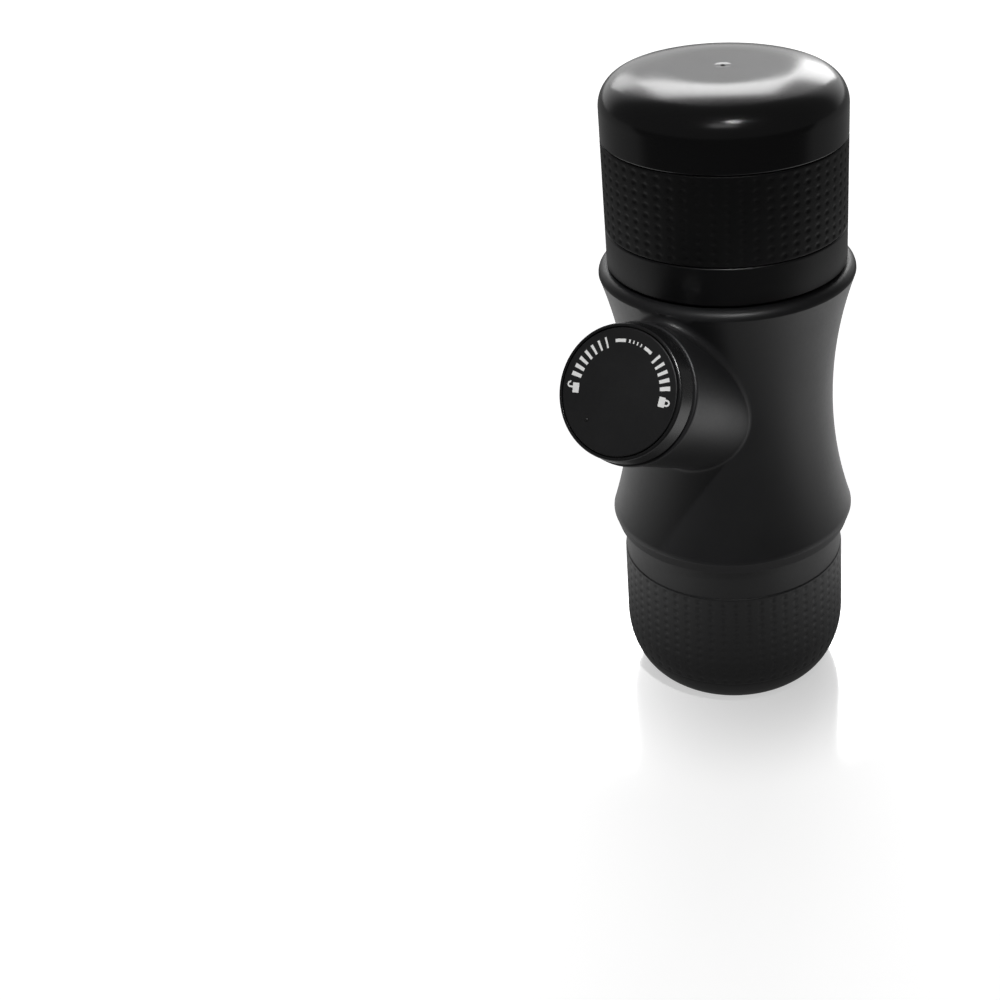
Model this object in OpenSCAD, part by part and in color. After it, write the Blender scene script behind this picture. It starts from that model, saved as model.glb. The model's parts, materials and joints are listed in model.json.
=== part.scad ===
// Handheld manual espresso maker, standing on its own cup.
// The origin is the middle of the cup's base. The body's axis is Z and the pump boss points to -Y.
// All lengths are in millimetres.

/* [Water tank] */
// Outside diameter of the tank, its collar and its end cap
tank_d = 60; // [56:0.5:62]
// Height of the smooth collar at the tank's lower end
collar_h = 9.9; // [8:0.1:13]
// Height of the dimpled grip band
band_h = 22.5; // [18:0.5:26]
// Height of the end cap above the band
cap_h = 16.5; // [14:0.5:20]
// Rounding of the end cap's top edge
cap_edge_r = 7.5; // [5:0.5:9]
// Diameter of the level middle of the end cap
cap_flat_d = 24; // [16:1:30]
// Radius of the shallow crown between the level middle and the edge
cap_crown_r = 45; // [36:1:80]
// Wall of the tank vessel
tank_wall = 1.8; // [1.2:0.1:2.2]
// Wall of the grip band
band_wall = 1.6; // [1.2:0.1:2]
// Outside diameter of the tank's threaded neck
neck_d = 48; // [42:0.5:49]
// Length of the tank's neck
neck_len = 7.5; // [6:0.5:8]
// Pitch of the tank's thread
tank_pitch = 4; // [3:0.5:5]

/* [Main body] */
// Height of the main body, from its bottom rim to its top rim
body_h = 74; // [72:0.5:80]
// Diameter at the waist
waist_d = 53.4; // [52:0.2:56]
// Height of the waist above the bottom rim
waist_up = 37; // [35:0.5:41]
// Radius of the long concave curve of the waist
waist_curve_r = 112; // [100:1:120]
// Wall of the main body
body_wall = 2.6; // [2:0.1:3]
// Diameter of the bottom rim
rim_d = 62; // [61:0.2:63]
// Height of the bevel between the bottom rim and the lower flange
rim_bevel_h = 3.2; // [2:0.1:4]
// Rounding of the upper flange
flange_r = 2.2; // [1.5:0.1:3]

/* [Side boss and knob] */
// Rise of the pump's axis above the horizontal, in degrees
boss_tilt = 30; // [28:0.5:32]
// Height at which the pump's axis crosses the body's axis, above the bottom rim
boss_up = 31.2; // [29:0.2:31.8]
// Distance from the body's axis to the open end of the boss, along the pump's axis
boss_reach = 54; // [50:0.5:57]
// Outside diameter of the boss
boss_d = 33.4; // [33:0.2:35.4]
// Wall of the boss
boss_wall = 1.6; // [1.4:0.1:1.8]
// Diameter of the trim ring on the end of the boss
trim_d = 34; // [33.6:0.2:36]
// Outside diameter of the knob
knob_d = 32.6; // [32.2:0.2:35]
// Height of the knob's side wall
knob_h = 5; // [5:0.2:9]
// Gap between the pressed knob and the trim ring
knob_gap = 0.8; // [0.8:0.1:2]
// Diameter of the flat disc in the knob's face
face_d = 29.6; // [27:0.2:29.8]

/* [Pump] */
// Bore of the pump cylinder
pump_bore = 18; // [16:0.5:18]
// Wall of the pump cylinder
pump_wall = 2; // [1.5:0.1:2]
// Stroke of the plunger
stroke = 18; // [14:0.5:18]
// Wall of the plunger tube
tube_wall = 1.6; // [1.4:0.1:1.8]
// Diameter of the piston rod
rod_d = 7; // [5:0.5:9]
// Length of the piston head
piston_len = 8; // [7:0.5:9]
// Turn of the knob between locked and unlocked, in degrees
lock_turn = 60; // [30:5:80]
// Wire diameter of the plunger's return spring
spring_wire = 1.2; // [0.8:0.1:1.4]
// Coils of the return spring
spring_coils = 4; // [3:1:5]

/* [Outlet head and basket] */
// Outside diameter of the outlet head
head_d = 51; // [50:0.2:51.4]
// Wall of the outlet head
head_wall = 2.4; // [2:0.1:2.8]
// Rounding of the outlet head's lower edge
head_edge_r = 15; // [12:0.5:16]
// Inside diameter of the coffee basket
basket_bore = 39; // [36:0.5:40]
// Depth of the coffee basket
basket_depth = 16; // [14:0.5:17]
// Sheet thickness of the coffee basket and the screens
sheet = 0.8; // [0.6:0.1:1]
// Diameter of the holes in the two screens
screen_hole_d = 1.4; // [1:0.1:1.8]
// Diameter of the outlet's bore
outlet_d = 4.4; // [3:0.2:5]
// Pitch of the outlet head's thread
head_pitch = 3; // [2:0.5:3]

/* [Cup] */
// Height of the part of the cup that shows under the body
cup_h = 46; // [45:0.5:50]
// Length of the cup's rim that sits inside the body's bottom
cup_rim_h = 5; // [4:0.2:6]
// Diameter of the cup's smooth band
cup_d = 58.2; // [57.8:0.2:59]
// Diameter over the upper end of the cup's grip zone
cup_grip_d = 58.8; // [58.6:0.2:60]
// Diameter over the grip zone at the cup's belly
cup_belly_d = 59.4; // [59:0.2:60.4]
// Diameter of the cup's flat base
cup_base_d = 40.4; // [38:0.2:44]
// Height of the cup's rounded lower edge
cup_edge_h = 16; // [12:0.5:20]
// Height of the upper end of the grip zone
grip_high = 36.5; // [34:0.5:40]
// Wall and floor of the cup
cup_wall = 1.8; // [1.4:0.1:2]

/* [Hidden] */
$fn = 96;

// Clearances: between turned faces of two moving pieces, between pieces that are fixed together,
// and round a seal ring
run_gap = 0.3;
fit_gap = 0.1;
seal_space = 0.03;
eps = 0.01;
// How far a cut runs past what it cuts, and a length beyond the whole part's reach
over = 1;
far = 100;
// Screw threads: height of the ridge, how deep it is rooted, and its distance from the thread's ends
thread_h = 0.8;
thread_root_in = 0.4;
thread_end = 0.5;
head_thread_turns = 1.5;
// Visible seams, and the slots in screw heads
seam_gap = 0.2;
seam_bevel = 0.5;
slot_w = 0.7;
slot_h = 0.6;

// Heights of the joints between the large pieces
body_z0 = cup_h;
body_z1 = body_z0 + body_h;
tank_gap = 0.6;
tank_z0 = body_z1 + tank_gap;
band_z0 = tank_z0 + collar_h;
cap_z0 = band_z0 + band_h;
top_z = cap_z0 + cap_h;
waist_z = body_z0 + waist_up;
boss_z = body_z0 + boss_up;

// Main body curve
waist_r = waist_d / 2;
curve_x = waist_r + waist_curve_r;
inner_curve_r = waist_curve_r + body_wall;
function body_r(z) = curve_x - sqrt(pow(waist_curve_r, 2) - pow(z - waist_z, 2));
function inner_r(z) = curve_x - sqrt(pow(inner_curve_r, 2) - pow(z - waist_z, 2));
flange_z = body_z1 - flange_r;

// Tank socket in the body's top
socket_floor = 2;
socket_clear = 1;
socket_z0 = body_z1 - neck_len - socket_clear - socket_floor;
socket_bore_r = neck_d / 2 + run_gap;
socket_wall = 1.7;
socket_r = socket_bore_r + socket_wall;
// the socket's lip reaches as far out as the vessel's shoulder, which lies over it
vessel_r = tank_d / 2 - band_wall;
socket_lip_r = vessel_r;
socket_lip_h = 2.4;
socket_lip_drop = 0.4;
socket_ledge_h = 3;
socket_ledge_z = body_z1 - socket_lip_h - socket_ledge_h;
seal_h = 1.6;
neck_wall = 1.8;
neck_core_r = neck_d / 2 - thread_h;
neck_r0 = neck_core_r - neck_wall;
cap_wall = 2;
vessel_z1 = top_z - cap_wall;
vessel_edge_r = cap_edge_r - band_wall;
vessel_crown_r = cap_crown_r - cap_wall;
inlet_r = 2.2;
strainer_r = 5;
strainer_hole_r = 0.45;
strainer_hole_step = 1.7;

// Group head in the body's bottom
group_up = 20;
group_z1 = body_z0 + group_up;
group_plate_h = 4;
group_z0 = group_z1 - group_plate_h;
head_step = 1.6;
head_neck_r = head_d / 2 - head_step;
head_core_r = head_neck_r - thread_h;
collar_bore_r = head_neck_r + run_gap;
collar_wall = 1.6;
collar_r = collar_bore_r + collar_wall;
head_shoulder_up = 1.4;
head_shoulder_z = body_z0 + head_shoulder_up;
shower_gap = 1;
shower_clear = 0.4;
shower_head_r = 3;
shower_head_h = 1.4;
shower_boss_r = 3.6;
water_hole_r = 1;
water_hole_at = 5.6;
spread_r = 7;
spread_h = 0.8;

// Coffee basket
basket_r = basket_bore / 2 + sheet;
basket_top_gap = 0.8;
gasket_h = shower_gap + sheet + basket_top_gap;
basket_z1 = group_z0 - gasket_h;
basket_z0 = basket_z1 - basket_depth - sheet;
basket_flange_in = 0.6;
basket_flange_r = head_neck_r - basket_flange_in;
basket_floor_w = 2;
head_seat_z = basket_z1 - sheet;

// Outlet head
tip_clear = 5.4;
chamber_top_gap = 4;
head_tip_z = cup_wall + tip_clear;
head_edge_x = head_d / 2 - head_edge_r;
head_edge_z = head_tip_z + head_edge_r;
chamber_z1 = basket_z0 - chamber_top_gap;
nozzle_r = 5;
nozzle_proud = 1;
nozzle_bevel = 1.6;
nozzle_bevel_up = 0.4;
nozzle_flange_w = 1;
nozzle_flange_h = 1.2;

// Cup
cup_r = cup_d / 2;
cup_bore_r = cup_r - cup_wall;
cup_grip_r = cup_grip_d / 2;
cup_grip_step_h = 0.4;
cup_top_z = cup_h + cup_rim_h;
cup_top_gap = 0.3;
ledge_h = 2.4;
retain_groove_in = 0.5;
retain_groove_w = 2;
retain_up = 0.6;
retain_r = collar_r - retain_groove_in;
retain_z = body_z0 + cup_rim_h / 2 + retain_up;

// Pump, measured along its own axis from the body's axis
pump_r = pump_bore / 2 + pump_wall;
pump_floor = 2;
pump_l0 = 11;
piston_clear = 2;
piston_l0 = pump_l0 + pump_floor + piston_clear;
piston_l1 = piston_l0 + piston_len;
piston_r = pump_bore / 2 - run_gap;
piston_groove_in = 1.4;
piston_groove_r = piston_r - piston_groove_in;
piston_groove_w = 1.8;
piston_groove_at = 2;
rod_seat = 5;
port_r = 3;
port_l0 = 2;
cyl_port_r = 2;
cross_way_y0 = -2.5;
block_r = 16;
nose_l = 18.5;
nose_r = 14.2;
cyl_flange_h = 1.5;
seal_groove_in = 1.2;
seal_groove_r = pump_r - seal_groove_in;
seal_groove_w = 1.4;
seal_at = 2.6;
seal_l = pump_l0 + seal_at;
tube_r0 = pump_r + run_gap;
tube_r = tube_r0 + tube_wall;
key_h = 0.9;
key_w = 4;
key_in = 0.4;
key_l1 = boss_reach - stroke - run_gap;
lock_r0 = tube_r + run_gap;
boss_r = boss_d / 2;
boss_bore_r = boss_r - boss_wall;
lock_r = boss_bore_r - run_gap;
trim_h = 1.6;
trim_bevel = 0.6;
trim_edge = 0.3;
trim_l0 = boss_reach;
trim_l1 = trim_l0 + trim_h;
lock_l1 = trim_l0 - run_gap;
lock_spare = 2;
lock_len = stroke + lock_spare;
lock_l0 = lock_l1 - lock_len;
lock_lip_in = 1.2;
lock_lip_r = boss_r - lock_lip_in;
lock_lip_h = 1.4;
trim_bore_r = tube_r + key_h + run_gap;
stop_turn = 90;
stop_in = 0.6;
stop_r = trim_bore_r + stop_in;
stop_peg_r = 0.4;
stop_h = 0.8;
stop_margin = 4;
knob_l0 = trim_l1 + knob_gap;
knob_l1 = knob_l0 + knob_h;
knob_wall = 1.8;
knob_land = 0.2;
knob_edge = 0.4;
knob_rim_drop = 0.1;
knob_collar_w = 0.9;
knob_collar_h = 1.6;
face_h = 1.4;
face_gap = 0.3;
face_r = face_d / 2 + face_gap;
knob_bevel = knob_d / 2 - face_r - knob_land;
pip_at = 11.6;
pip_turn = 214;
pip_r = 0.45;
pip_h = 0.3;
web_l1 = knob_l1 - face_h;
web_l0 = web_l1 - knob_wall;
knob_screw_r = 1.2;
knob_screw_in = 6.5;
spring_l0 = nose_l + cyl_flange_h;
spring_spare = 0.8;
spring_len = spring_wire * (spring_coils + 1) + spring_spare;
tube_l0 = spring_l0 + spring_len + run_gap;
tube_overlap = 20;
pump_l1 = tube_l0 + tube_overlap;
spring_out = 0.5;
spring_r = (pump_r + tube_r) / 2 + spring_out;

// Valves
ball_r = 1.8;
ball_gap = 0.05;
channel_gap = 0.5;
channel_r = ball_r + channel_gap;
seat_w = 1;
seat_h = 1.6;
seat_bore_r = 1.1;
valve_wire = 0.4;
valve_coils = 4;
valve_spring_in = 0.4;
valve_spring_len = 3;
ball_drop = ball_r * 0.72;
valve_h = ball_drop + ball_r + valve_spring_len + ball_gap;
spring_ledge_h = 1.2;
water_way_r = 1.6;
inlet_channel_y = 6;
inlet_seat_z = socket_z0 - seat_h;
manifold_z0 = inlet_seat_z - valve_h - spring_ledge_h;
outlet_seat_z = group_z1 + spring_ledge_h + valve_h;

// Screws
chassis_screw_r = 1.5;
chassis_head_r = 2.6;
chassis_head_h = 1.6;
chassis_screw_in = 8;
shower_screw_r = 1.5;
shower_screw_in = 2.8;
chassis_screw_at = 13;
cyl_screw_r = 0.9;
cyl_screw_in = 5.5;
chassis_head_drop = 0.2;
screw_tip_gap = 0.5;

// ---------- shared shapes ----------

// A ring, or a tube, round the Z axis
module ring(r_out, r_in, z0, z1) {
    translate([0, 0, z0])
        difference() {
            cylinder(h = z1 - z0, r = r_out);
            translate([0, 0, -over])
                cylinder(h = z1 - z0 + 2 * over, r = r_in);
        }
}

// A plain disc or shaft round the Z axis
module shaft(r, z0, z1) {
    translate([0, 0, z0])
        cylinder(h = z1 - z0, r = r);
}

// Puts its children on the pump's axis, with Z pointing out of the boss
module on_pump_axis() {
    translate([0, 0, boss_z])
        rotate([90 - boss_tilt, 0, 0])
            children();
}

// A band of the half plane between two heights
module band2d(z0, z1, r = far) {
    translate([0, z0])
        square([r, z1 - z0]);
}

// A round seal ring with a circular section
module o_ring(r_mid, section_r, z) {
    rotate_extrude()
        translate([r_mid, z])
            circle(r = section_r, $fn = 32);
}

// A coil spring along Z: a round wire swept along a helix, as one closed tube
module coil(r, wire, len, turns, steps = 16, sides = 6) {
    rings = turns * steps;
    points = [
        for (i = [0:rings])
            for (j = [0:sides - 1])
                let (turn = 360 * i / steps, side = 360 * j / sides,
                     rad = r + wire / 2 * cos(side))
                [rad * cos(turn), rad * sin(turn),
                 wire / 2 + (len - wire) * i / rings + wire / 2 * sin(side)]
    ];
    walls = [
        for (i = [0:rings - 1])
            for (j = [0:sides - 1])
                let (k = (j + 1) % sides, a = i * sides, b = a + sides)
                [a + j, b + j, b + k, a + k]
    ];
    first = [[for (j = [0:sides - 1]) j]];
    last = [[for (j = [sides - 1:-1:0]) rings * sides + j]];
    polyhedron(points = points, faces = concat(walls, first, last));
}

// A screw thread's ridge round Z, on a core of radius r, cut into short level steps
module thread_ridge(r, pitch, z0, z1, steps = 12) {
    turn = 360 / steps;
    lap = 0.5;
    root = pitch * 0.28;
    crest = pitch * 0.12;
    foot = r - thread_root_in;
    for (i = [0:floor((z1 - z0 - 2 * root) / pitch * steps)])
        translate([0, 0, z0 + root + pitch * i / steps])
            rotate([0, 0, i * turn])
                rotate_extrude(angle = turn + lap)
                    polygon([[foot, -root], [r, -root], [r + thread_h, -crest],
                             [r + thread_h, crest], [r, root], [foot, root]]);
}

// Holes on rings, for a perforated screen
module screen_holes(r_max, z0, z1) {
    hole_step = screen_hole_d * 2.4;
    for (k = [1:floor((r_max - screen_hole_d) / hole_step)])
        let (n = 6 * k)
        for (i = [0:n - 1])
            rotate([0, 0, 360 * (i + 0.5 * (k % 2)) / n])
                translate([k * hole_step, 0, z0])
                    cylinder(h = z1 - z0, r = screen_hole_d / 2, $fn = 16);
}

// Slot for a screwdriver in the underside of a screw head that starts at z 0
module screwdriver_slot(head_r) {
    translate([-head_r - over, -slot_w / 2, -over])
        cube([2 * (head_r + over), slot_w, slot_h + over]);
}

// Positions of the three chassis screws, clear of the boss
module at_chassis_screws() {
    for (a = [90, 210, 330])
        rotate([0, 0, a])
            translate([chassis_screw_at, 0, 0])
                children();
}

// Positions of the four screws that hold the pump cylinder
module at_cylinder_screws() {
    for (a = [45:90:315])
        rotate([0, 0, a])
            translate([(pump_r + nose_r) / 2, 0, 0])
                children();
}

// ---------- cup and outlet ----------

// Outline of the cup's outside, with all walls moved inwards by inset
module cup_outline(inset) {
    base_r = cup_base_d / 2;
    edge_w = cup_belly_d / 2 - base_r - inset;
    edge_h = cup_edge_h - inset;
    edge_steps = 10;
    rim_z = cup_top_z + (inset > 0 ? over : 0);
    polygon(concat(
        [[0, inset]],
        [
            for (i = [0:edge_steps])
                let (a = 90 * i / edge_steps)
                [base_r + edge_w * sin(a), cup_edge_h - edge_h * cos(a)]
        ],
        [
            [cup_grip_r - inset, grip_high - cup_grip_step_h + inset],
            [cup_r - inset, grip_high + inset],
            [cup_r - inset, rim_z],
            [0, rim_z]
        ]
    ));
}

// Drinking cup, which is also the base of the standing object
module cup() {
    color("#17181a")
        rotate_extrude()
            difference() {
                cup_outline(0);
                cup_outline(cup_wall);
            }
}

// Rubber ring on the collar, which the cup's rim is pushed over
module cup_retaining_ring() {
    color("#0c0c0d")
        o_ring((cup_bore_r + retain_r) / 2, (cup_bore_r - retain_r) / 2 - seal_space, retain_z);
}

// Domed head that screws into the group and holds the basket
module outlet_head() {
    inner_edge_r = head_edge_r - head_wall;
    color("#141516") {
        thread_ridge(head_core_r, head_pitch, head_seat_z - thread_end - head_thread_turns * head_pitch,
                     head_seat_z - thread_end);
        rotate_extrude()
            difference() {
                intersection() {
                    band2d(head_tip_z, head_seat_z);
                    union() {
                        band2d(head_tip_z, head_shoulder_z, head_edge_x);
                        band2d(head_edge_z, head_shoulder_z, head_d / 2);
                        band2d(head_shoulder_z - over, head_seat_z, head_core_r);
                        translate([head_edge_x, head_edge_z])
                            circle(r = head_edge_r);
                    }
                }
                // collecting chamber, and the bore for the basket above it
                band2d(head_tip_z + head_wall, head_seat_z + over, head_edge_x);
                band2d(head_edge_z, chamber_z1, head_edge_x + inner_edge_r);
                translate([head_edge_x, head_edge_z])
                    circle(r = inner_edge_r);
                band2d(chamber_z1 - eps, head_seat_z + over, basket_r + fit_gap);
                // seat of the nozzle
                band2d(0, head_tip_z + head_wall + over, nozzle_r);
            }
    }
}

// Nozzle in the tip of the outlet head
module outlet_nozzle() {
    color("#1c1d1f")
        rotate_extrude()
            difference() {
                polygon([
                    [0, head_tip_z - nozzle_proud],
                    [nozzle_r - nozzle_bevel, head_tip_z - nozzle_proud],
                    [nozzle_r, head_tip_z + nozzle_bevel_up],
                    [nozzle_r, head_tip_z + head_wall],
                    [nozzle_r + nozzle_flange_w, head_tip_z + head_wall],
                    [nozzle_r + nozzle_flange_w, head_tip_z + head_wall + nozzle_flange_h],
                    [0, head_tip_z + head_wall + nozzle_flange_h]
                ]);
                band2d(0, head_tip_z + head_wall + nozzle_flange_h + over, outlet_d / 2);
            }
}

// Metal basket that holds the ground coffee
module coffee_basket() {
    color("#b9bcc0") {
        ring(basket_r, basket_bore / 2, basket_z0, basket_z1 - sheet);
        ring(basket_flange_r, basket_bore / 2, basket_z1 - sheet, basket_z1);
        ring(basket_bore / 2 + eps, basket_bore / 2 - basket_floor_w, basket_z0, basket_z0 + sheet);
    }
}

// Perforated floor of the basket
module basket_screen() {
    color("#c6c9cd")
        difference() {
            shaft(basket_bore / 2, basket_z0 + sheet, basket_z0 + 2 * sheet);
            screen_holes(basket_bore / 2 - basket_floor_w, basket_z0, basket_z0 + 2 * sheet + over);
        }
}

// Soft ring between the basket's flange and the group head
module group_gasket() {
    color("#8f3a30")
        ring(basket_flange_r, basket_bore / 2 + shower_clear, basket_z1, group_z0);
}

// Perforated disc that spreads the water over the coffee
module shower_screen() {
    z1 = group_z0 - shower_gap;
    z0 = z1 - sheet;
    color("#c6c9cd")
        difference() {
            shaft(basket_bore / 2 - shower_clear, z0, z1);
            screen_holes(basket_bore / 2 - basket_floor_w, z0 - over, z1 + over);
            shaft(shower_screw_r + fit_gap, z0 - over, z1 + over);
        }
}

// Screw that holds the shower screen
module shower_screw() {
    color("#9a9ca0")
        translate([0, 0, group_z0 - shower_gap - sheet]) {
            translate([0, 0, -shower_head_h])
                difference() {
                    cylinder(h = shower_head_h, r = shower_head_r);
                    screwdriver_slot(shower_head_r);
                }
            cylinder(h = sheet + shower_gap + shower_screw_in, r = shower_screw_r);
        }
}

// ---------- main body ----------

// Group head: plate with water ways, and the threaded collar for the outlet head
module group_head() {
    color("#1b1c1e")
        difference() {
            union() {
                translate([0, 0, group_z0])
                    cylinder(h = group_plate_h, r1 = inner_r(group_z0) - fit_gap,
                             r2 = inner_r(group_z1) - fit_gap);
                ring(collar_r, collar_bore_r, head_shoulder_z + run_gap, group_z0 + eps);
                shaft(shower_boss_r, group_z0 - shower_gap, group_z0 + eps);
            }
            ring(collar_r + over, retain_r, retain_z - retain_groove_w / 2, retain_z + retain_groove_w / 2);
            shaft(shower_screw_r, group_z0 - shower_gap - over, group_z0 + shower_screw_in);
            shaft(spread_r, group_z1 - spread_h, group_z1 + over);
            for (a = [30:120:270])
                rotate([0, 0, a])
                    translate([water_hole_at, 0, group_z0 - over])
                        cylinder(h = group_plate_h + 2 * over, r = water_hole_r, $fn = 24);
            at_chassis_screws() {
                shaft(chassis_screw_r + fit_gap, group_z0 - over, group_z1 + over);
                shaft(chassis_head_r + fit_gap, group_z0 - over, group_z0 + chassis_head_h);
            }
        }
}

// Outline of the turned part of the shell, filled to the axis
module shell_outline() {
    bevel_z = body_z0 + rim_bevel_h;
    top_r = body_r(flange_z) - flange_r;
    difference() {
        band2d(bevel_z, flange_z);
        translate([curve_x, waist_z])
            circle(r = waist_curve_r, $fn = 360);
    }
    // rounded upper flange
    band2d(flange_z - eps, body_z1, top_r);
    intersection() {
        band2d(flange_z, body_z1 + over);
        translate([top_r, flange_z])
            circle(r = flange_r);
    }
    // bevel down to the bottom rim
    polygon([
        [0, body_z0], [rim_d / 2, body_z0], [body_r(bevel_z), bevel_z],
        [body_r(bevel_z), bevel_z + eps], [0, bevel_z + eps]
    ]);
}

// Hollow of the turned part: cup mouth, waist, and seat for the tank socket
module shell_hollow() {
    ledge_z = cup_top_z + cup_top_gap;
    difference() {
        band2d(ledge_z + ledge_h, socket_ledge_z);
        translate([curve_x, waist_z])
            circle(r = inner_curve_r, $fn = 360);
    }
    band2d(body_z0 - over, ledge_z, cup_r + run_gap);
    band2d(ledge_z - eps, ledge_z + ledge_h + eps, collar_r + run_gap);
    band2d(socket_z0 - run_gap, body_z1 + over, socket_r + fit_gap);
    band2d(body_z1 - socket_lip_h, body_z1 + over, socket_lip_r + fit_gap);
}

// Waisted outer shell with the side boss
module main_body_shell() {
    color("#1a1b1d")
        difference() {
            union() {
                rotate_extrude()
                    shell_outline();
                on_pump_axis()
                    shaft(boss_r, 0, boss_reach);
            }
            rotate_extrude()
                shell_hollow();
            on_pump_axis() {
                shaft(boss_bore_r, 0, boss_reach + over);
                shaft(lock_lip_r + run_gap, lock_l1 - lock_lip_h - run_gap, boss_reach + over);
            }
        }
}

// Trim ring on the open end of the boss
module boss_trim_ring() {
    trim_r = trim_d / 2;
    color("#202124")
        on_pump_axis() {
            rotate([0, 0, stop_turn])
                translate([stop_r, 0, trim_l0 - stop_h])
                    cylinder(h = stop_h + eps, r = stop_peg_r, $fn = 24);
            rotate_extrude()
                polygon([
                    [trim_bore_r, trim_l0], [trim_r - trim_edge, trim_l0], [trim_r, trim_l0 + trim_edge],
                    [trim_r, trim_l1 - trim_bevel], [trim_r - trim_bevel, trim_l1],
                    [trim_bore_r + trim_bevel, trim_l1], [trim_bore_r, trim_l1 - trim_bevel]
                ]);
        }
}

// Block that holds the pump cylinder and the outlet valve
module pump_block() {
    color("#c9c5ba")
        difference() {
            union() {
                difference() {
                    shaft(block_r, group_z1, manifold_z0);
                    on_pump_axis()
                        shaft(boss_bore_r, nose_l, far);
                }
                intersection() {
                    on_pump_axis()
                        shaft(nose_r, 0, nose_l);
                    shaft(boss_reach, group_z1, manifold_z0);
                }
            }
            on_pump_axis() {
                shaft(pump_r, pump_l0, far);
                shaft(port_r, port_l0, pump_l0 + over);
                at_cylinder_screws()
                    shaft(cyl_screw_r, nose_l - cyl_screw_in - screw_tip_gap, nose_l + over);
            }
            // way down from the manifold, and across to the cylinder's port
            translate([0, inlet_channel_y, 0])
                shaft(water_way_r, boss_z, manifold_z0 + over);
            translate([0, cross_way_y0, boss_z])
                rotate([-90, 0, 0])
                    cylinder(h = inlet_channel_y + water_way_r - cross_way_y0, r = water_way_r);
            // outlet channel, with a seat for the outlet valve
            shaft(water_way_r, group_z1 - over, outlet_seat_z);
            shaft(channel_r, outlet_seat_z - valve_h, outlet_seat_z);
            shaft(channel_r + seat_w, outlet_seat_z, outlet_seat_z + seat_h);
            shaft(seat_bore_r, outlet_seat_z, boss_z);
            at_chassis_screws()
                shaft(chassis_screw_r, group_z1 - over, group_z1 + chassis_screw_in + screw_tip_gap);
        }
}

// Manifold between the tank socket and the pump block, with the inlet valve
module inlet_manifold() {
    color("#c9c5ba")
        difference() {
            shaft(block_r, manifold_z0, socket_z0);
            on_pump_axis()
                shaft(boss_bore_r, nose_l, far);
            translate([0, inlet_channel_y, 0]) {
                shaft(water_way_r, manifold_z0 - over, inlet_seat_z);
                shaft(channel_r, inlet_seat_z - valve_h, socket_z0 + over);
                shaft(channel_r + seat_w, inlet_seat_z, socket_z0 + over);
            }
        }
}

// Three screws that hold the group head against the pump block
module chassis_screws() {
    color("#8d8f93")
        at_chassis_screws() {
            shaft(chassis_screw_r, group_z0 + chassis_head_h - eps, group_z1 + chassis_screw_in);
            difference() {
                shaft(chassis_head_r, group_z0 + chassis_head_drop, group_z0 + chassis_head_h);
                translate([0, 0, group_z0 + chassis_head_drop])
                    screwdriver_slot(chassis_head_r);
            }
        }
}

// ---------- pump ----------

// Cylinder with its closed inner end and its fixing flange
module pump_cylinder() {
    color("#d7d4cb")
        on_pump_axis()
            difference() {
                union() {
                    shaft(pump_r - fit_gap, pump_l0, pump_l1);
                    shaft(nose_r, nose_l, nose_l + cyl_flange_h);
                }
                shaft(pump_bore / 2, pump_l0 + pump_floor, pump_l1 + over);
                shaft(cyl_port_r, pump_l0 - over, pump_l0 + pump_floor + over);
                ring(pump_r + over, seal_groove_r, seal_l - seal_groove_w / 2, seal_l + seal_groove_w / 2);
                at_cylinder_screws()
                    shaft(cyl_screw_r, nose_l - over, nose_l + cyl_flange_h + over);
            }
}

// Four screws that hold the cylinder's flange on the block
module cylinder_screws() {
    color("#8d8f93")
        on_pump_axis()
            at_cylinder_screws()
                shaft(cyl_screw_r, nose_l - cyl_screw_in, nose_l + cyl_flange_h);
}

// Seal ring in the groove round the cylinder's inner end
module cylinder_seal() {
    color("#0c0c0d")
        on_pump_axis()
            o_ring((seal_groove_r + pump_r) / 2, (pump_r - seal_groove_r) / 2 - seal_space, seal_l);
}

// Ring that turns with the knob and guides the plunger tube
module lock_ring() {
    color("#2a2b2e")
        on_pump_axis()
            difference() {
                union() {
                    shaft(lock_r, lock_l0, lock_l1);
                    shaft(lock_lip_r, lock_l1 - lock_lip_h, lock_l1);
                }
                shaft(lock_r0, lock_l0 - over, lock_l1 + over);
                for (side = [0, 180])
                    rotate([0, 0, side])
                        translate([lock_r0 - over, -key_w / 2 - run_gap, lock_l0 - over])
                            cube([key_h + over, key_w + 2 * run_gap, lock_len + 2 * over]);
                // slot of the stop peg, which limits the turn
                rotate([0, 0, stop_turn - lock_turn - stop_margin])
                    rotate_extrude(angle = lock_turn + 2 * stop_margin)
                        translate([stop_r - stop_peg_r - run_gap / 2, lock_l1 - stop_h])
                            square([2 * stop_peg_r + run_gap, stop_h + over]);
            }
}

// Tube of the plunger, with two keys that turn the lock ring
module plunger_tube() {
    color("#242528")
        on_pump_axis() {
            ring(tube_r, tube_r0, tube_l0, web_l0);
            for (side = [0, 180])
                rotate([0, 0, side])
                    translate([tube_r - key_in, -key_w / 2, tube_l0])
                        cube([key_h + key_in, key_w, key_l1 - tube_l0]);
        }
}

// Rod from the knob to the piston
module piston_rod() {
    color("#b9bcc0")
        on_pump_axis()
            difference() {
                shaft(rod_d / 2, piston_l1 - rod_seat, web_l0);
                shaft(knob_screw_r, web_l0 - knob_screw_in - screw_tip_gap, web_l0 + over);
            }
}

// Piston head with two seal grooves
module piston_head() {
    color("#d7d4cb")
        on_pump_axis()
            difference() {
                shaft(piston_r, piston_l0, piston_l1);
                shaft(rod_d / 2, piston_l1 - rod_seat, piston_l1 + over);
                for (l = [piston_l0 + piston_groove_at, piston_l1 - piston_groove_at])
                    ring(piston_r + over, piston_groove_r, l - piston_groove_w / 2, l + piston_groove_w / 2);
            }
}

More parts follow.
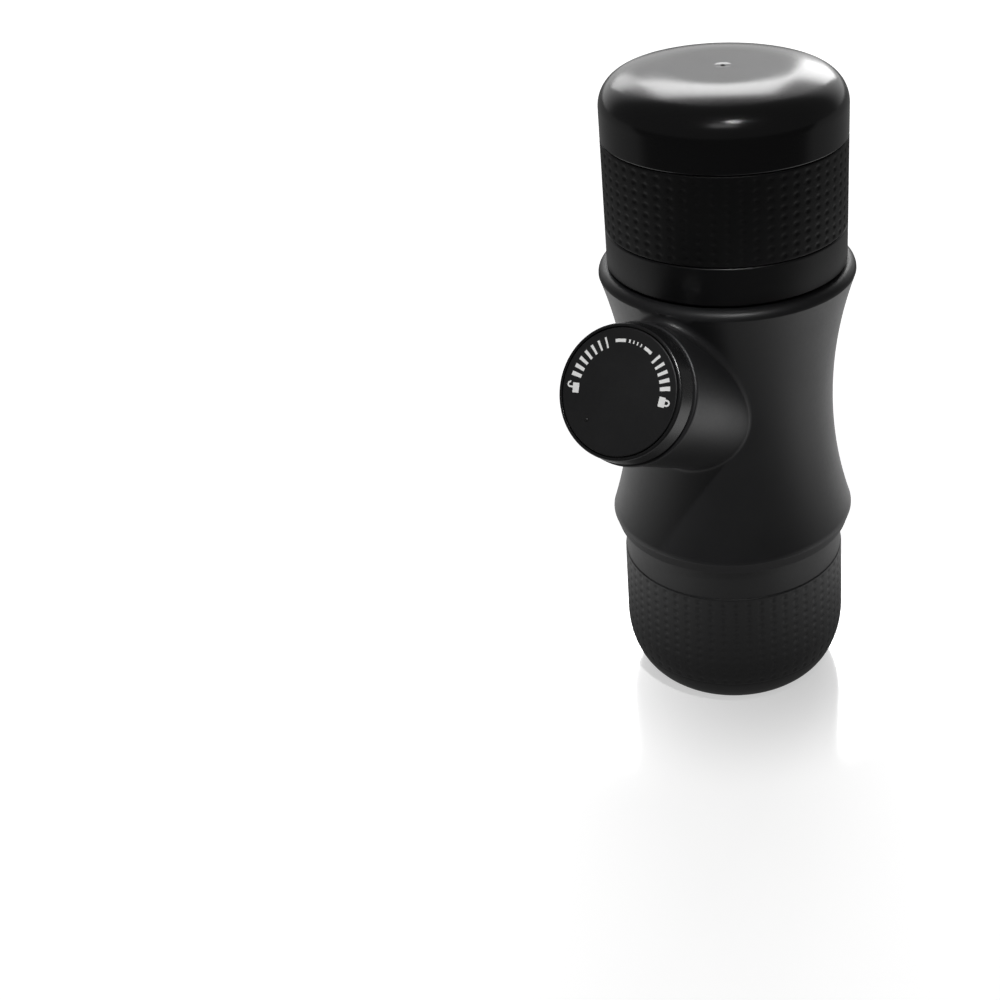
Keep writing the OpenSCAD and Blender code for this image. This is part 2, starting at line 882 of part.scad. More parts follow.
// The two seal rings on the piston
module piston_seals() {
    bore_r = pump_bore / 2;
    color("#0c0c0d")
        on_pump_axis()
            for (l = [piston_l0 + piston_groove_at, piston_l1 - piston_groove_at])
                o_ring((bore_r + piston_groove_r) / 2, (bore_r - piston_groove_r) / 2 - 2 * seal_space, l);
}

// Spring that pushes the plunger out
module return_spring() {
    color("#a7a9ad")
        on_pump_axis()
            translate([0, 0, spring_l0])
                coil(spring_r, spring_wire, spring_len, spring_coils, 24, 8);
}

// Knob: cap with a raised rim, a skirt and a collar round the plunger tube
module knob_cap() {
    knob_r = knob_d / 2;
    skirt_r = knob_r - knob_wall;
    collar_r0 = tube_r + fit_gap;
    rim_l1 = knob_l1 - knob_rim_drop;
    color("#1a1b1d")
        on_pump_axis()
            difference() {
                rotate_extrude()
                    polygon([
                        [0, web_l0], [collar_r0, web_l0], [collar_r0, web_l0 - knob_collar_h],
                        [collar_r0 + knob_collar_w, web_l0 - knob_collar_h],
                        [collar_r0 + knob_collar_w, web_l0], [skirt_r, web_l0],
                        [skirt_r, knob_l0], [knob_r - knob_edge, knob_l0], [knob_r, knob_l0 + knob_edge],
                        [knob_r, rim_l1 - knob_bevel], [knob_r - knob_bevel, rim_l1], [face_r, rim_l1],
                        [face_r, web_l1], [0, web_l1]
                    ]);
                translate([0, 0, web_l0 - fit_gap])
                    cylinder(h = knob_wall + 2 * fit_gap, r1 = knob_screw_r,
                             r2 = knob_screw_r + knob_wall + 2 * fit_gap);
            }
}

// Flat disc set in the knob, with the moulded pip
module knob_face_disc() {
    color("#222326")
        on_pump_axis() {
            shaft(face_d / 2, web_l1, knob_l1);
            rotate([0, 0, pip_turn])
                translate([pip_at, 0, knob_l1 - eps])
                    cylinder(h = pip_h, r = pip_r, $fn = 24);
        }
}

// Countersunk screw under the disc that holds the knob on the rod
module knob_screw() {
    color("#8d8f93")
        on_pump_axis() {
            shaft(knob_screw_r, web_l0 - knob_screw_in, web_l0 + eps);
            translate([0, 0, web_l0])
                cylinder(h = knob_wall, r1 = knob_screw_r, r2 = knob_screw_r + knob_wall);
        }
}

// ---------- valves ----------

// One valve seat: a ring that the ball closes from below
module valve_seat(y, z) {
    translate([0, y, 0])
        difference() {
            ring(channel_r + seat_w, seat_bore_r, z, z + seat_h);
            translate([0, 0, z - ball_drop])
                sphere(r = ball_r + ball_gap);
        }
}

// One valve ball, just under its seat
module valve_ball(y, z) {
    translate([0, y, z - ball_drop])
        sphere(r = ball_r);
}

// One light spring that holds a ball up
module valve_spring(y, z) {
    translate([0, y, z - valve_h])
        coil(ball_r - valve_spring_in, valve_wire, valve_spring_len, valve_coils, 14, 5);
}

module inlet_valve_seat() {
    color("#d7d4cb")
        valve_seat(inlet_channel_y, inlet_seat_z);
}

module inlet_valve_ball() {
    color("#c6c9cd")
        valve_ball(inlet_channel_y, inlet_seat_z);
}

module inlet_valve_spring() {
    color("#a7a9ad")
        valve_spring(inlet_channel_y, inlet_seat_z);
}

module outlet_valve_seat() {
    color("#d7d4cb")
        valve_seat(0, outlet_seat_z);
}

module outlet_valve_ball() {
    color("#c6c9cd")
        valve_ball(0, outlet_seat_z);
}

module outlet_valve_spring() {
    color("#a7a9ad")
        valve_spring(0, outlet_seat_z);
}

// ---------- water tank ----------

// Threaded socket for the tank in the body's top
module tank_socket() {
    color("#1b1c1e")
        difference() {
            union() {
                ring(socket_r, socket_bore_r, socket_z0, body_z1 - socket_lip_h + eps);
                ring(socket_lip_r, socket_bore_r, body_z1 - socket_lip_h,
                     body_z1 - socket_lip_drop);
                shaft(socket_bore_r + eps, socket_z0, socket_z0 + socket_floor);
            }
            translate([0, inlet_channel_y, 0])
                shaft(inlet_r, socket_z0 - over, socket_z0 + socket_floor + over);
        }
}

// Fine strainer over the water inlet
module inlet_strainer() {
    z = socket_z0 + socket_floor;
    color("#c6c9cd")
        translate([0, inlet_channel_y, 0])
            difference() {
                shaft(strainer_r, z, z + sheet);
                for (k = [1:2])
                    for (i = [0:6 * k - 1])
                        rotate([0, 0, 60 * i / k])
                            translate([strainer_hole_step * k, 0, z - over])
                                cylinder(h = sheet + 2 * over, r = strainer_hole_r, $fn = 16);
            }
}

// Flat seal under the tank's neck
module tank_seal() {
    z = tank_z0 - neck_len - seal_h;
    color("#8f3a30")
        ring(neck_d / 2 - fit_gap, neck_r0, z, z + seal_h);
}

// Outline of a closed end with a level middle, a shallow crown and a rounded edge, filled to the axis
module crowned_end(r, edge_r, crown_r, z0, z1) {
    flat_r = cap_flat_d / 2;
    inset = r - edge_r - flat_r;
    edge_z = z1 - crown_r + sqrt(pow(crown_r - edge_r, 2) - pow(inset, 2));
    band2d(z0, edge_z, r);
    band2d(z0, z1, flat_r);
    intersection() {
        band2d(z0, z1, flat_r + crown_r * inset / (crown_r - edge_r));
        translate([flat_r, z1 - crown_r])
            circle(r = crown_r, $fn = 360);
    }
    intersection() {
        band2d(edge_z - eps, z1, r);
        translate([r - edge_r, edge_z])
            circle(r = edge_r);
    }
}

// Water vessel with its neck, open at the bottom
module tank_vessel() {
    color("#1f2022") {
        thread_ridge(neck_core_r, tank_pitch, tank_z0 - neck_len + thread_end, tank_z0 - thread_end);
        rotate_extrude()
            difference() {
                union() {
                    crowned_end(vessel_r, vessel_edge_r, vessel_crown_r, tank_z0, vessel_z1);
                    band2d(tank_z0 - neck_len, tank_z0 + over, neck_core_r);
                }
                crowned_end(vessel_r - tank_wall, vessel_edge_r - tank_wall, vessel_crown_r - tank_wall,
                            tank_z0 + tank_wall, vessel_z1 - tank_wall);
                band2d(tank_z0 - neck_len - over, tank_z0 + tank_wall + over, neck_r0);
            }
    }
}

// Smooth collar round the tank's lower end
module tank_collar() {
    inner_r = vessel_r + fit_gap / 2;
    color("#1d1e20")
        rotate_extrude()
            polygon([
                [inner_r, tank_z0], [tank_d / 2 - seam_bevel, tank_z0], [tank_d / 2, tank_z0 + seam_bevel],
                [tank_d / 2, band_z0 - seam_gap - seam_bevel], [tank_d / 2 - seam_bevel, band_z0 - seam_gap],
                [inner_r, band_z0 - seam_gap]
            ]);
}

// Rubber grip band round the tank
module tank_grip_band() {
    color("#101112")
        ring(tank_d / 2, vessel_r + fit_gap / 2, band_z0, cap_z0 - seam_gap);
}

// End cap over the top of the tank
module tank_end_cap() {
    color("#1c1d1f")
        rotate_extrude()
            difference() {
                crowned_end(tank_d / 2, cap_edge_r, cap_crown_r, cap_z0, top_z);
                crowned_end(vessel_r + fit_gap / 2, vessel_edge_r, vessel_crown_r, cap_z0 - over,
                            vessel_z1 + fit_gap);
            }
}

cup();
cup_retaining_ring();
outlet_head();
outlet_nozzle();
coffee_basket();
basket_screen();
group_gasket();
shower_screen();
shower_screw();
group_head();
main_body_shell();
boss_trim_ring();
pump_block();
inlet_manifold();
chassis_screws();
pump_cylinder();
cylinder_screws();
cylinder_seal();
inlet_valve_seat();
inlet_valve_ball();
inlet_valve_spring();
outlet_valve_seat();
outlet_valve_ball();
outlet_valve_spring();
lock_ring();
plunger_tube();
piston_rod();
piston_head();
piston_seals();
return_spring();
knob_cap();
knob_face_disc();
knob_screw();
tank_socket();
inlet_strainer();
tank_seal();
tank_vessel();
tank_collar();
tank_grip_band();
tank_end_cap();
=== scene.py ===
"""Looks of the handheld espresso maker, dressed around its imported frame."""
import json
import math

import bmesh
import bpy
from mathutils import Matrix, Vector
from mathutils.geometry import delaunay_2d_cdt


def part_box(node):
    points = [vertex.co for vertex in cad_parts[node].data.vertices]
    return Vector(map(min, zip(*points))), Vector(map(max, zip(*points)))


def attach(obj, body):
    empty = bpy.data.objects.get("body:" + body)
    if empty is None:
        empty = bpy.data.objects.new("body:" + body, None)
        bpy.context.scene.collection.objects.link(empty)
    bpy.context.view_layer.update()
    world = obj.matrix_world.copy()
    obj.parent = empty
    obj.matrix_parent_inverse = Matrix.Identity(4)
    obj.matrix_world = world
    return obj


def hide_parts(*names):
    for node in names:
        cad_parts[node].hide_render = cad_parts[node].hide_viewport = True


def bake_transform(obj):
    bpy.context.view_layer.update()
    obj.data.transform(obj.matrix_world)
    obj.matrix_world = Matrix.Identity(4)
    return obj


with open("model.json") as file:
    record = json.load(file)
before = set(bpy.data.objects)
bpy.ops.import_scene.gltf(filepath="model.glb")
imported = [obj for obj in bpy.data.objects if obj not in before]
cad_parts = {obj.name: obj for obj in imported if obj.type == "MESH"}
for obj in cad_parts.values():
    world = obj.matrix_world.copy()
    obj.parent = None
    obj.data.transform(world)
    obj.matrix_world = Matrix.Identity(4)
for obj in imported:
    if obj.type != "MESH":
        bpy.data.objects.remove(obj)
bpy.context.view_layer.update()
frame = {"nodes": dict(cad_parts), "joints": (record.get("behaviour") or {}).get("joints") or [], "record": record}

MM = 0.001
ROUND = 192  # steps round a turned piece

# ---------------------------------------------------------------- sizes, in millimetres


def z_span(node):
    """Lowest and highest point of a node, in millimetres."""
    low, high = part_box(node)
    return low.z / MM, high.z / MM


def radius_of(node):
    """Largest radius of a node that is turned round the body's axis, in millimetres."""
    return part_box(node)[1].x / MM


TANK_R = radius_of("tank_end_cap")
CAP_Z0, TOP_Z = z_span("tank_end_cap")
BAND_Z0, BAND_Z1 = z_span("tank_grip_band")
COLLAR_Z0, COLLAR_Z1 = z_span("tank_collar")
SLEEVE_R = radius_of("tank_vessel") + 0.05  # inside of what sits on the tank's vessel
SOCKET_R = radius_of("tank_socket")
BODY_Z0 = z_span("main_body_shell")[0]
CUP_TOP_Z = z_span("cup")[1]

# Tank: a crowned end cap over the band
CAP_EDGE_R = 7.5
CAP_FLAT_R = 12.0
CAP_CROWN_R = 45.0
CAP_WALL = 2.0
BAND_WALL = 1.6
BAND_EDGE_R = 0.35

# Body shell: a waist on one arc, between a bevelled rim and a rounded flange
BODY_H = 74.0
WAIST_R = 26.7
WAIST_UP = 37.0
WAIST_CURVE_R = 112.0
BODY_WALL = 2.6
RIM_R = 31.0
RIM_BEVEL_H = 3.2
RIM_LIP_R = 0.35
FLANGE_R = 2.2
GROUP_ROOM_R = 26.1
GROUP_ROOM_H = 2.7
SOCKET_ROOM_H = 5.4
SOCKET_SHOULDER_H = 2.4
SOCKET_SHOULDER_W = 2.3

# Boss of the pump, and the plunger's tube in it
BOSS_R = 16.7
BOSS_BORE_R = 15.1
BOSS_FILLET = 1.6
BOSS_LIP_W = 0.9
LOCK_FLANGE_H = 1.4
TUBE_R = 12.9
TUBE_COLLAR_W = 0.9
RUN_GAP = 0.3  # between pieces that move past each other
DISC_H = 1.4

# Cup: a smooth band over the dimpled zone, which curves in to the base
CUP_R = 29.1
CUP_WALL = 1.8
CUP_BASE_R = 20.2
CUP_BELLY_R = 29.7
CUP_GRIP_R = 29.4
CUP_EDGE_H = 16.0
CUP_RIM_R = 0.45
CUP_FOOT_H = 0.35
GRIP_LOW = 8.8
GRIP_HIGH = 36.5

BODY_Z1 = BODY_Z0 + BODY_H
WAIST_Z = BODY_Z0 + WAIST_UP
CURVE_X = WAIST_R + WAIST_CURVE_R
BEVEL_Z = BODY_Z0 + RIM_BEVEL_H
FLANGE_Z = BODY_Z1 - FLANGE_R

# Dimples of the two grip zones
DENT_COLUMNS = 56
BAND_ROWS = 9
CUP_ROWS = 11
DENT_R = 0.72
DENT_DEPTH = 0.23

# Frame of the pump: its Z runs out along the plunger, its X to the right
JOINTS = {joint["name"]: joint for joint in frame["joints"]}
PUMP_AXIS = Vector(JOINTS["plunger_stroke"]["axis"]).normalized()
PUMP_AT = Vector(JOINTS["knob_turn"]["pos_m"])
PUMP_SIDE = Vector((1, 0, 0))
PUMP_TURN = Matrix((PUMP_SIDE, PUMP_AXIS.cross(PUMP_SIDE), PUMP_AXIS)).transposed()
PUMP_FRAME = Matrix.Translation(PUMP_AT) @ PUMP_TURN.to_4x4()


def along_pump(node):
    """Start and end of a node along the pump's axis, and its largest radius there, in millimetres."""
    to_pump = PUMP_FRAME.inverted()
    points = [to_pump @ v.co / MM for v in frame["nodes"][node].data.vertices]
    return min(p.z for p in points), max(p.z for p in points), max(math.hypot(p.x, p.y) for p in points)


BOSS_END = along_pump("lock_ring")[1] + RUN_GAP
TRIM_L1, TRIM_R = along_pump("boss_trim_ring")[1:]
KNOB_L0, KNOB_L1, KNOB_R = along_pump("knob_cap")
FACE_L0, _, FACE_R = along_pump("knob_face_disc")
FACE_L1 = FACE_L0 + DISC_H

# The view: azimuth, elevation and roll of the camera, its distance and aim, and the photograph's framing
CAMERA_TURN = math.radians(28.5)
CAMERA_RISE = math.radians(27.9)
CAMERA_ROLL = math.radians(-1.3)
CAMERA_AWAY = 0.4181
CAMERA_AIM = Vector((0, 0, 0.0865))
PHOTO_SIDE = 1000
FOCAL_PIXELS = 1611.4
AXIS_PIXEL = (729.9, 376.3)
TO_CAMERA = Vector((math.sin(CAMERA_TURN), -math.cos(CAMERA_TURN), 0))
CAMERA_RIGHT = Vector((math.cos(CAMERA_TURN), math.sin(CAMERA_TURN), 0))

# ---------------------------------------------------------------- materials

WHITE = (1, 1, 1)


class Nodes:
    """A small helper that adds and joins nodes of one tree."""

    def __init__(self, tree):
        self.tree = tree

    def add(self, kind, inputs=None, **settings):
        node = self.tree.nodes.new(kind)
        for name, value in settings.items():
            setattr(node, name, value)
        for name, value in (inputs or {}).items():
            self.put(node.inputs[name], value)
        return node

    def put(self, socket, value):
        if isinstance(value, bpy.types.NodeSocket):
            self.tree.links.new(value, socket)
        else:
            socket.default_value = value

    def math(self, operation, a, b=0.0, c=0.0):
        node = self.tree.nodes.new("ShaderNodeMath")
        node.operation = operation
        for socket, value in zip(node.inputs, (a, b, c)):
            self.put(socket, value)
        return node.outputs[0]

    def range(self, value, from_min, from_max, to_min, to_max, smooth=False):
        node = self.add("ShaderNodeMapRange", {"Value": value})
        if smooth:
            node.interpolation_type = "SMOOTHSTEP"
        ends = {"From Min": from_min, "From Max": from_max, "To Min": to_min, "To Max": to_max}
        for name, number in ends.items():
            self.put(node.inputs[name], number)
        return node.outputs["Result"]

    def along_view(self, way):
        """How far a level vector reaches towards the camera."""
        return self.add("ShaderNodeVectorMath", {0: way, 1: TO_CAMERA}, operation="DOT_PRODUCT").outputs["Value"]

    def noise(self, place, scale, detail=3.0, roughness=0.5):
        node = self.add("ShaderNodeTexNoise", {"Vector": place, "Scale": scale, "Detail": detail})
        node.inputs["Roughness"].default_value = roughness
        return node.outputs["Fac"]


def plastic(name, colour, rough, rough_swing, grain, grain_height, mottle=0.12, specular=0.5):
    """Moulded plastic or rubber: colour mottled a little, gloss in soft patches, and a fine moulded grain.

    rough_swing is how far the roughness strays, grain the scale of the grain, and grain_height its relief
    in metres."""
    material = bpy.data.materials.new(name)
    material.use_nodes = True
    tree = Nodes(material.node_tree)
    shader = material.node_tree.nodes["Principled BSDF"]
    place = tree.add("ShaderNodeTexCoord").outputs["Object"]
    patches = tree.noise(place, 55, 4)
    dust = tree.noise(place, 900, 2)
    tint = tree.add("ShaderNodeMix", data_type="RGBA")
    dark = [c * (1 - mottle) for c in colour] + [1]
    light = [c * (1 + mottle) for c in colour] + [1]
    tree.put(tint.inputs["Factor"], tree.range(patches, 0.3, 0.7, 0, 1))
    tint.inputs["A"].default_value = dark
    tint.inputs["B"].default_value = light
    tree.put(shader.inputs["Base Color"], tint.outputs["Result"])
    shine = tree.math("MULTIPLY_ADD", tree.range(patches, 0.3, 0.7, -1, 1), rough_swing, rough)
    shine = tree.math("MULTIPLY_ADD", tree.range(dust, 0.3, 0.7, -1, 1), rough_swing * 0.5, shine)
    tree.put(shader.inputs["Roughness"], shine)
    shader.inputs["Specular IOR Level"].default_value = specular
    relief = {"Height": tree.noise(place, grain, 2), "Strength": 1.0, "Distance": grain_height}
    tree.put(shader.inputs["Normal"], tree.add("ShaderNodeBump", relief).outputs["Normal"])
    return material


def metal(name, colour, rough, stretch):
    """Brushed metal: fine scratches, drawn out along one axis."""
    material = bpy.data.materials.new(name)
    material.use_nodes = True
    tree = Nodes(material.node_tree)
    shader = material.node_tree.nodes["Principled BSDF"]
    place = tree.add("ShaderNodeTexCoord").outputs["Object"]
    drawn = tree.add("ShaderNodeMapping", {"Vector": place, "Scale": stretch}).outputs["Vector"]
    scratches = tree.noise(drawn, 700, 3)
    patches = tree.noise(place, 90, 3)
    shader.inputs["Base Color"].default_value = (*colour, 1)
    shader.inputs["Metallic"].default_value = 1
    shine = tree.math("MULTIPLY_ADD", tree.range(scratches, 0.3, 0.7, -1, 1), 0.07, rough)
    tree.put(shader.inputs["Roughness"], tree.math("MULTIPLY_ADD", patches, 0.06, shine))
    relief = {"Height": scratches, "Strength": 0.6, "Distance": 0.00001}
    tree.put(shader.inputs["Normal"], tree.add("ShaderNodeBump", relief).outputs["Normal"])
    return material


SATIN = plastic("satin_black", (0.0145, 0.0145, 0.0156), 0.42, 0.03, 5200, 0.000010)
CAP_SATIN = plastic("cap_black", (0.008, 0.008, 0.0086), 0.19, 0.015, 5200, 0.000003, specular=0.6)
TANK_SATIN = plastic("tank_black", (0.006, 0.006, 0.0066), 0.34, 0.03, 5200, 0.000008)
CUP_SATIN = plastic("cup_black", (0.011, 0.011, 0.0116), 0.42, 0.04, 4200, 0.000012)
KNOB_SATIN = plastic("knob_black", (0.008, 0.008, 0.0085), 0.26, 0.02, 4200, 0.000005, specular=0.6)
DISC = plastic("disc_black", (0.008, 0.008, 0.0085), 0.48, 0.04, 3600, 0.000016)
GRIP = plastic("grip_rubber", (0.0055, 0.0055, 0.0058), 0.56, 0.05, 3000, 0.000024, specular=0.32)
SEAL = plastic("seal_rubber", (0.012, 0.012, 0.012), 0.55, 0.05, 3000, 0.00003)
RED = plastic("red_silicone", (0.42, 0.08, 0.06), 0.5, 0.05, 2500, 0.00002)
INNER = plastic("inner_plastic", (0.70, 0.68, 0.62), 0.42, 0.05, 3000, 0.00002, mottle=0.03)
INNER_BLACK = plastic("inner_black", (0.016, 0.016, 0.017), 0.38, 0.04, 4200, 0.000014)
INK = plastic("print_white", (0.90, 0.90, 0.89), 0.45, 0.04, 3600, 0.00001, mottle=0.03)
STEEL = metal("steel", (0.62, 0.63, 0.64), 0.28, (1, 1, 12))

SLOT_FINISH = {
    "satin_black": SATIN,
    "cap_black": CAP_SATIN,
    "cup_black": CUP_SATIN,
    "disc_black": DISC,
    "grip_rubber": GRIP,
    "seal_rubber": SEAL,
    "red_silicone": RED,
    "inner_plastic": INNER,
    "inner_black": INNER_BLACK,
    "steel": STEEL,
}


def dress_frame():
    """Gives every carried-over node the finish of its slot."""
    for part in frame["record"]["subparts"]:
        node = frame["nodes"][part["node"]]
        node.data.materials.clear()
        node.data.materials.append(SLOT_FINISH[part["material_slot"]])


# ---------------------------------------------------------------- turned shapes


def filleted(corners, steps=5):
    """A closed outline from corners (r, z, fillet), with each fillet drawn as an arc."""
    outline = []
    for i, (x, z, fillet) in enumerate(corners):
        here = Vector((x, z))
        if not fillet:
            outline.append(here)
            continue
        before = Vector(corners[i - 1][:2])
        after = Vector(corners[(i + 1) % len(corners)][:2])
        u, v = (before - here).normalized(), (after - here).normalized()
        half = u.angle(v) / 2
        reach = fillet / math.tan(half)
        centre = here + (u + v).normalized() * (fillet / math.sin(half))
        a, b = here + u * reach - centre, here + v * reach - centre
        turn = a.angle_signed(b)
        for k in range(steps + 1):
            outline.append(centre + Matrix.Rotation(-turn * k / steps, 2) @ a)
    return outline


def arc(centre_r, centre_z, radius, start, end, steps=5):
    """Points of an arc in the (r, z) plane, from one angle to another in degrees."""
    turns = [math.radians(start + (end - start) * k / steps) for k in range(steps + 1)]
    return [(centre_r + radius * math.cos(a), centre_z + radius * math.sin(a)) for a in turns]


def ring(bm, r, z, steps):
    """A ring of vertices round Z, or one vertex on the axis itself."""
    if r < 1e-6:
        return [bm.verts.new((0, 0, z))]
    turns = [2 * math.pi * k / steps for k in range(steps)]
    return [bm.verts.new((r * math.cos(a), r * math.sin(a), z)) for a in turns]


def join_rings(bm, rings):
    """Faces between each ring and the next."""
    for a, b in zip(rings, rings[1:]):
        steps = max(len(a), len(b))
        for k in range(steps if steps > 1 else 0):
            n = (k + 1) % steps
            corners = [a[k % len(a)], a[n % len(a)], b[n % len(b)], b[k % len(b)]]
            bm.faces.new(list(dict.fromkeys(corners)))


def turned_mesh(outline, steps=ROUND):
    """A bmesh, in millimetres, of a closed outline of (r, z) points turned round Z."""
    bm = bmesh.new()
    rings = [ring(bm, r, z, steps) for r, z in outline]
    join_rings(bm, rings + rings[:1])
    bmesh.ops.recalc_face_normals(bm, faces=bm.faces)
    return bm


def placed_object(name, bm, place=None):
    """An object from a bmesh in millimetres, in metres, with its place in its mesh."""
    mesh = bpy.data.meshes.new(name)
    bm.to_mesh(mesh)
    bm.free()
    mesh.transform(Matrix.Scale(MM, 4))
    if place is not None:
        mesh.transform(place)
    obj = bpy.data.objects.new(name, mesh)
    bpy.context.scene.collection.objects.link(obj)
    return obj


def piece(name, bm, material, body, replaced=(), place=None, sharp=40):
    """Turns a bmesh in millimetres into a finished piece that rides on a body."""
    obj = placed_object(name, bm, place)
    for face in obj.data.polygons:
        face.use_smooth = True
    obj.data.set_sharp_from_angle(angle=math.radians(sharp))
    obj.data.materials.append(material)
    weigh = obj.modifiers.new("weigh", "WEIGHTED_NORMAL")
    weigh.keep_sharp = True
    bake_modifiers(obj)
    if body:
        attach(obj, body)
    if replaced:
        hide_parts(*replaced)
    return obj


def bake_modifiers(obj):
    """Replaces an object's mesh with what its modifiers make of it."""
    graph = bpy.context.evaluated_depsgraph_get()
    graph.update()
    made = obj.evaluated_get(graph)
    mesh = bpy.data.meshes.new_from_object(made, preserve_all_data_layers=True, depsgraph=graph)
    mesh.name = obj.name
    obj.modifiers.clear()
    obj.data = mesh


def turned(name, corners, material, body, replaced=(), place=None, steps=5, sharp=40):
    """A turned piece from the corners of its outline."""
    return piece(name, turned_mesh(filleted(corners, steps)), material, body, replaced, place, sharp)


# ---------------------------------------------------------------- tank


def crown(r, top, edge_r, crown_r, steps):
    """Outline of a closed end, from its level middle over a shallow crown and a rounded edge to its side."""
    inset = r - edge_r - CAP_FLAT_R
    edge_z = top - crown_r + math.sqrt((crown_r - edge_r) ** 2 - inset ** 2)
    join = 90 - math.degrees(math.asin(inset / (crown_r - edge_r)))
    shallow = arc(CAP_FLAT_R, top - crown_r, crown_r, 90, join, steps)
    return shallow + arc(r - edge_r, edge_z, edge_r, join, 0, steps)[1:]


def make_end_cap():
    """The tank's end cap, with the sunk mark of its mould's gate in the middle."""
    foot_r = 0.4
    inner_top = TOP_Z - CAP_WALL + 0.1
    gate = [(0, -0.34), (0.4, -0.34), (0.62, -0.12), (2.0, -0.1), (2.3, 0)]
    outline = [(r, TOP_Z + sunk) for r, sunk in gate] + crown(TANK_R, TOP_Z, CAP_EDGE_R, CAP_CROWN_R, 16)
    outline += arc(TANK_R - foot_r, CAP_Z0 + foot_r, foot_r, 0, -90) + [(SLEEVE_R, CAP_Z0)]
    outline += crown(SLEEVE_R, inner_top, CAP_EDGE_R - BAND_WALL, CAP_CROWN_R - CAP_WALL, 8)[::-1]
    outline += [(0, inner_top)]
    return piece("end_cap", turned_mesh(outline), CAP_SATIN, "tank", ["tank_end_cap"])


def make_collar():
    corners = [
        (SLEEVE_R, COLLAR_Z0, 0), (TANK_R, COLLAR_Z0, 0.5), (TANK_R, COLLAR_Z1, 0.45), (SLEEVE_R, COLLAR_Z1, 0),
    ]
    return turned("lower_collar", corners, TANK_SATIN, "tank", ["tank_collar"])


# ---------------------------------------------------------------- dimpled zones


def dimple_tree(name):
    """Geometry Nodes that wrap a sheet round Z and press rows of dents into it.

    Above Edge Height the sheet tapers from Low Radius to High Radius. Below it the sheet curves in by
    Edge Width."""
    group = bpy.data.node_groups.new(name, "GeometryNodeTree")
    tree = Nodes(group)
    for label, kind, value in (
        ("Columns", "NodeSocketInt", DENT_COLUMNS), ("Rows", "NodeSocketInt", BAND_ROWS),
        ("Steps", "NodeSocketInt", 8), ("Low", "NodeSocketFloat", 0.0), ("High", "NodeSocketFloat", 1.0),
        ("Low Radius", "NodeSocketFloat", 1.0), ("High Radius", "NodeSocketFloat", 1.0),
        ("Edge Height", "NodeSocketFloat", 1.0), ("Edge Width", "NodeSocketFloat", 0.0),
        ("Dent Radius", "NodeSocketFloat", 0.5), ("Dent Depth", "NodeSocketFloat", 0.1),
        ("Finish", "NodeSocketMaterial", None),
    ):
        socket = group.interface.new_socket(label, in_out="INPUT", socket_type=kind)
        if value is not None:
            socket.default_value = value
    group.interface.new_socket("Geometry", in_out="OUTPUT", socket_type="NodeSocketGeometry")
    given = tree.add("NodeGroupInput").outputs
    made = tree.add("NodeGroupOutput")
    across = tree.math("MULTIPLY_ADD", given["Columns"], given["Steps"], 1.0)
    up = tree.math("MULTIPLY_ADD", given["Rows"], given["Steps"], 1.0)
    square = {"Size X": 1.0, "Size Y": 1.0, "Vertices X": across, "Vertices Y": up}
    grid = tree.add("GeometryNodeMeshGrid", square)
    position = tree.add("GeometryNodeInputPosition").outputs[0]
    place = tree.add("ShaderNodeSeparateXYZ", {"Vector": position}).outputs
    u = tree.math("ADD", place["X"], 0.5)
    v = tree.math("ADD", place["Y"], 0.5)
    height = tree.math("SUBTRACT", given["High"], given["Low"])
    z = tree.math("MULTIPLY_ADD", v, height, given["Low"])
    taper = tree.math("SUBTRACT", given["High Radius"], given["Low Radius"])
    # the quarter ellipse below Edge Height, and the straight taper above it
    rise = tree.math("MAXIMUM", tree.math("SUBTRACT", 1.0, tree.math("DIVIDE", z, given["Edge Height"])), 0.0)
    level = tree.math("SQRT", tree.math("SUBTRACT", 1.0, tree.math("MULTIPLY", rise, rise)))
    round_in = tree.math("SUBTRACT", 1.0, level)
    straight = tree.math("DIVIDE", tree.math("SUBTRACT", z, given["Edge Height"]),
                         tree.math("SUBTRACT", given["High"], given["Edge Height"]))
    straight = tree.math("MAXIMUM", straight, 0.0)
    radius = tree.math("MULTIPLY_ADD", straight, taper, given["Low Radius"])
    radius = tree.math("SUBTRACT", radius, tree.math("MULTIPLY", round_in, given["Edge Width"]))
    # the distance to the middle of the nearest dent
    cell_w = tree.math("DIVIDE", tree.math("MULTIPLY", radius, 2 * math.pi), given["Columns"])
    cell_h = tree.math("DIVIDE", height, given["Rows"])
    off_x = tree.math("SUBTRACT", tree.math("FRACT", tree.math("MULTIPLY", u, given["Columns"])), 0.5)
    off_z = tree.math("SUBTRACT", tree.math("FRACT", tree.math("MULTIPLY", v, given["Rows"])), 0.5)
    off_x = tree.math("DIVIDE", tree.math("MULTIPLY", off_x, cell_w), given["Dent Radius"])
    off_z = tree.math("DIVIDE", tree.math("MULTIPLY", off_z, cell_h), given["Dent Radius"])
    away = tree.math("ADD", tree.math("MULTIPLY", off_x, off_x), tree.math("MULTIPLY", off_z, off_z))
    near = tree.math("MAXIMUM", tree.math("SUBTRACT", 1.0, away), 0.0)
    depth = tree.math("MULTIPLY", tree.math("POWER", near, 0.8), given["Dent Depth"])
    radius = tree.math("SUBTRACT", radius, depth)
    angle = tree.math("MULTIPLY", u, 2 * math.pi)
    spot = tree.add("ShaderNodeCombineXYZ", {
        "X": tree.math("MULTIPLY", radius, tree.math("COSINE", angle)),
        "Y": tree.math("MULTIPLY", radius, tree.math("SINE", angle)),
        "Z": z,
    })
    sheet = {"Geometry": grid.outputs["Mesh"], "Position": spot.outputs[0]}
    wrapped = tree.add("GeometryNodeSetPosition", sheet)
    real = tree.add("GeometryNodeRealizeInstances", {"Geometry": wrapped.outputs[0]})
    finish = tree.add("GeometryNodeSetMaterial", {"Geometry": real.outputs[0], "Material": given["Finish"]})
    tree.put(made.inputs["Geometry"], finish.outputs[0])
    return group


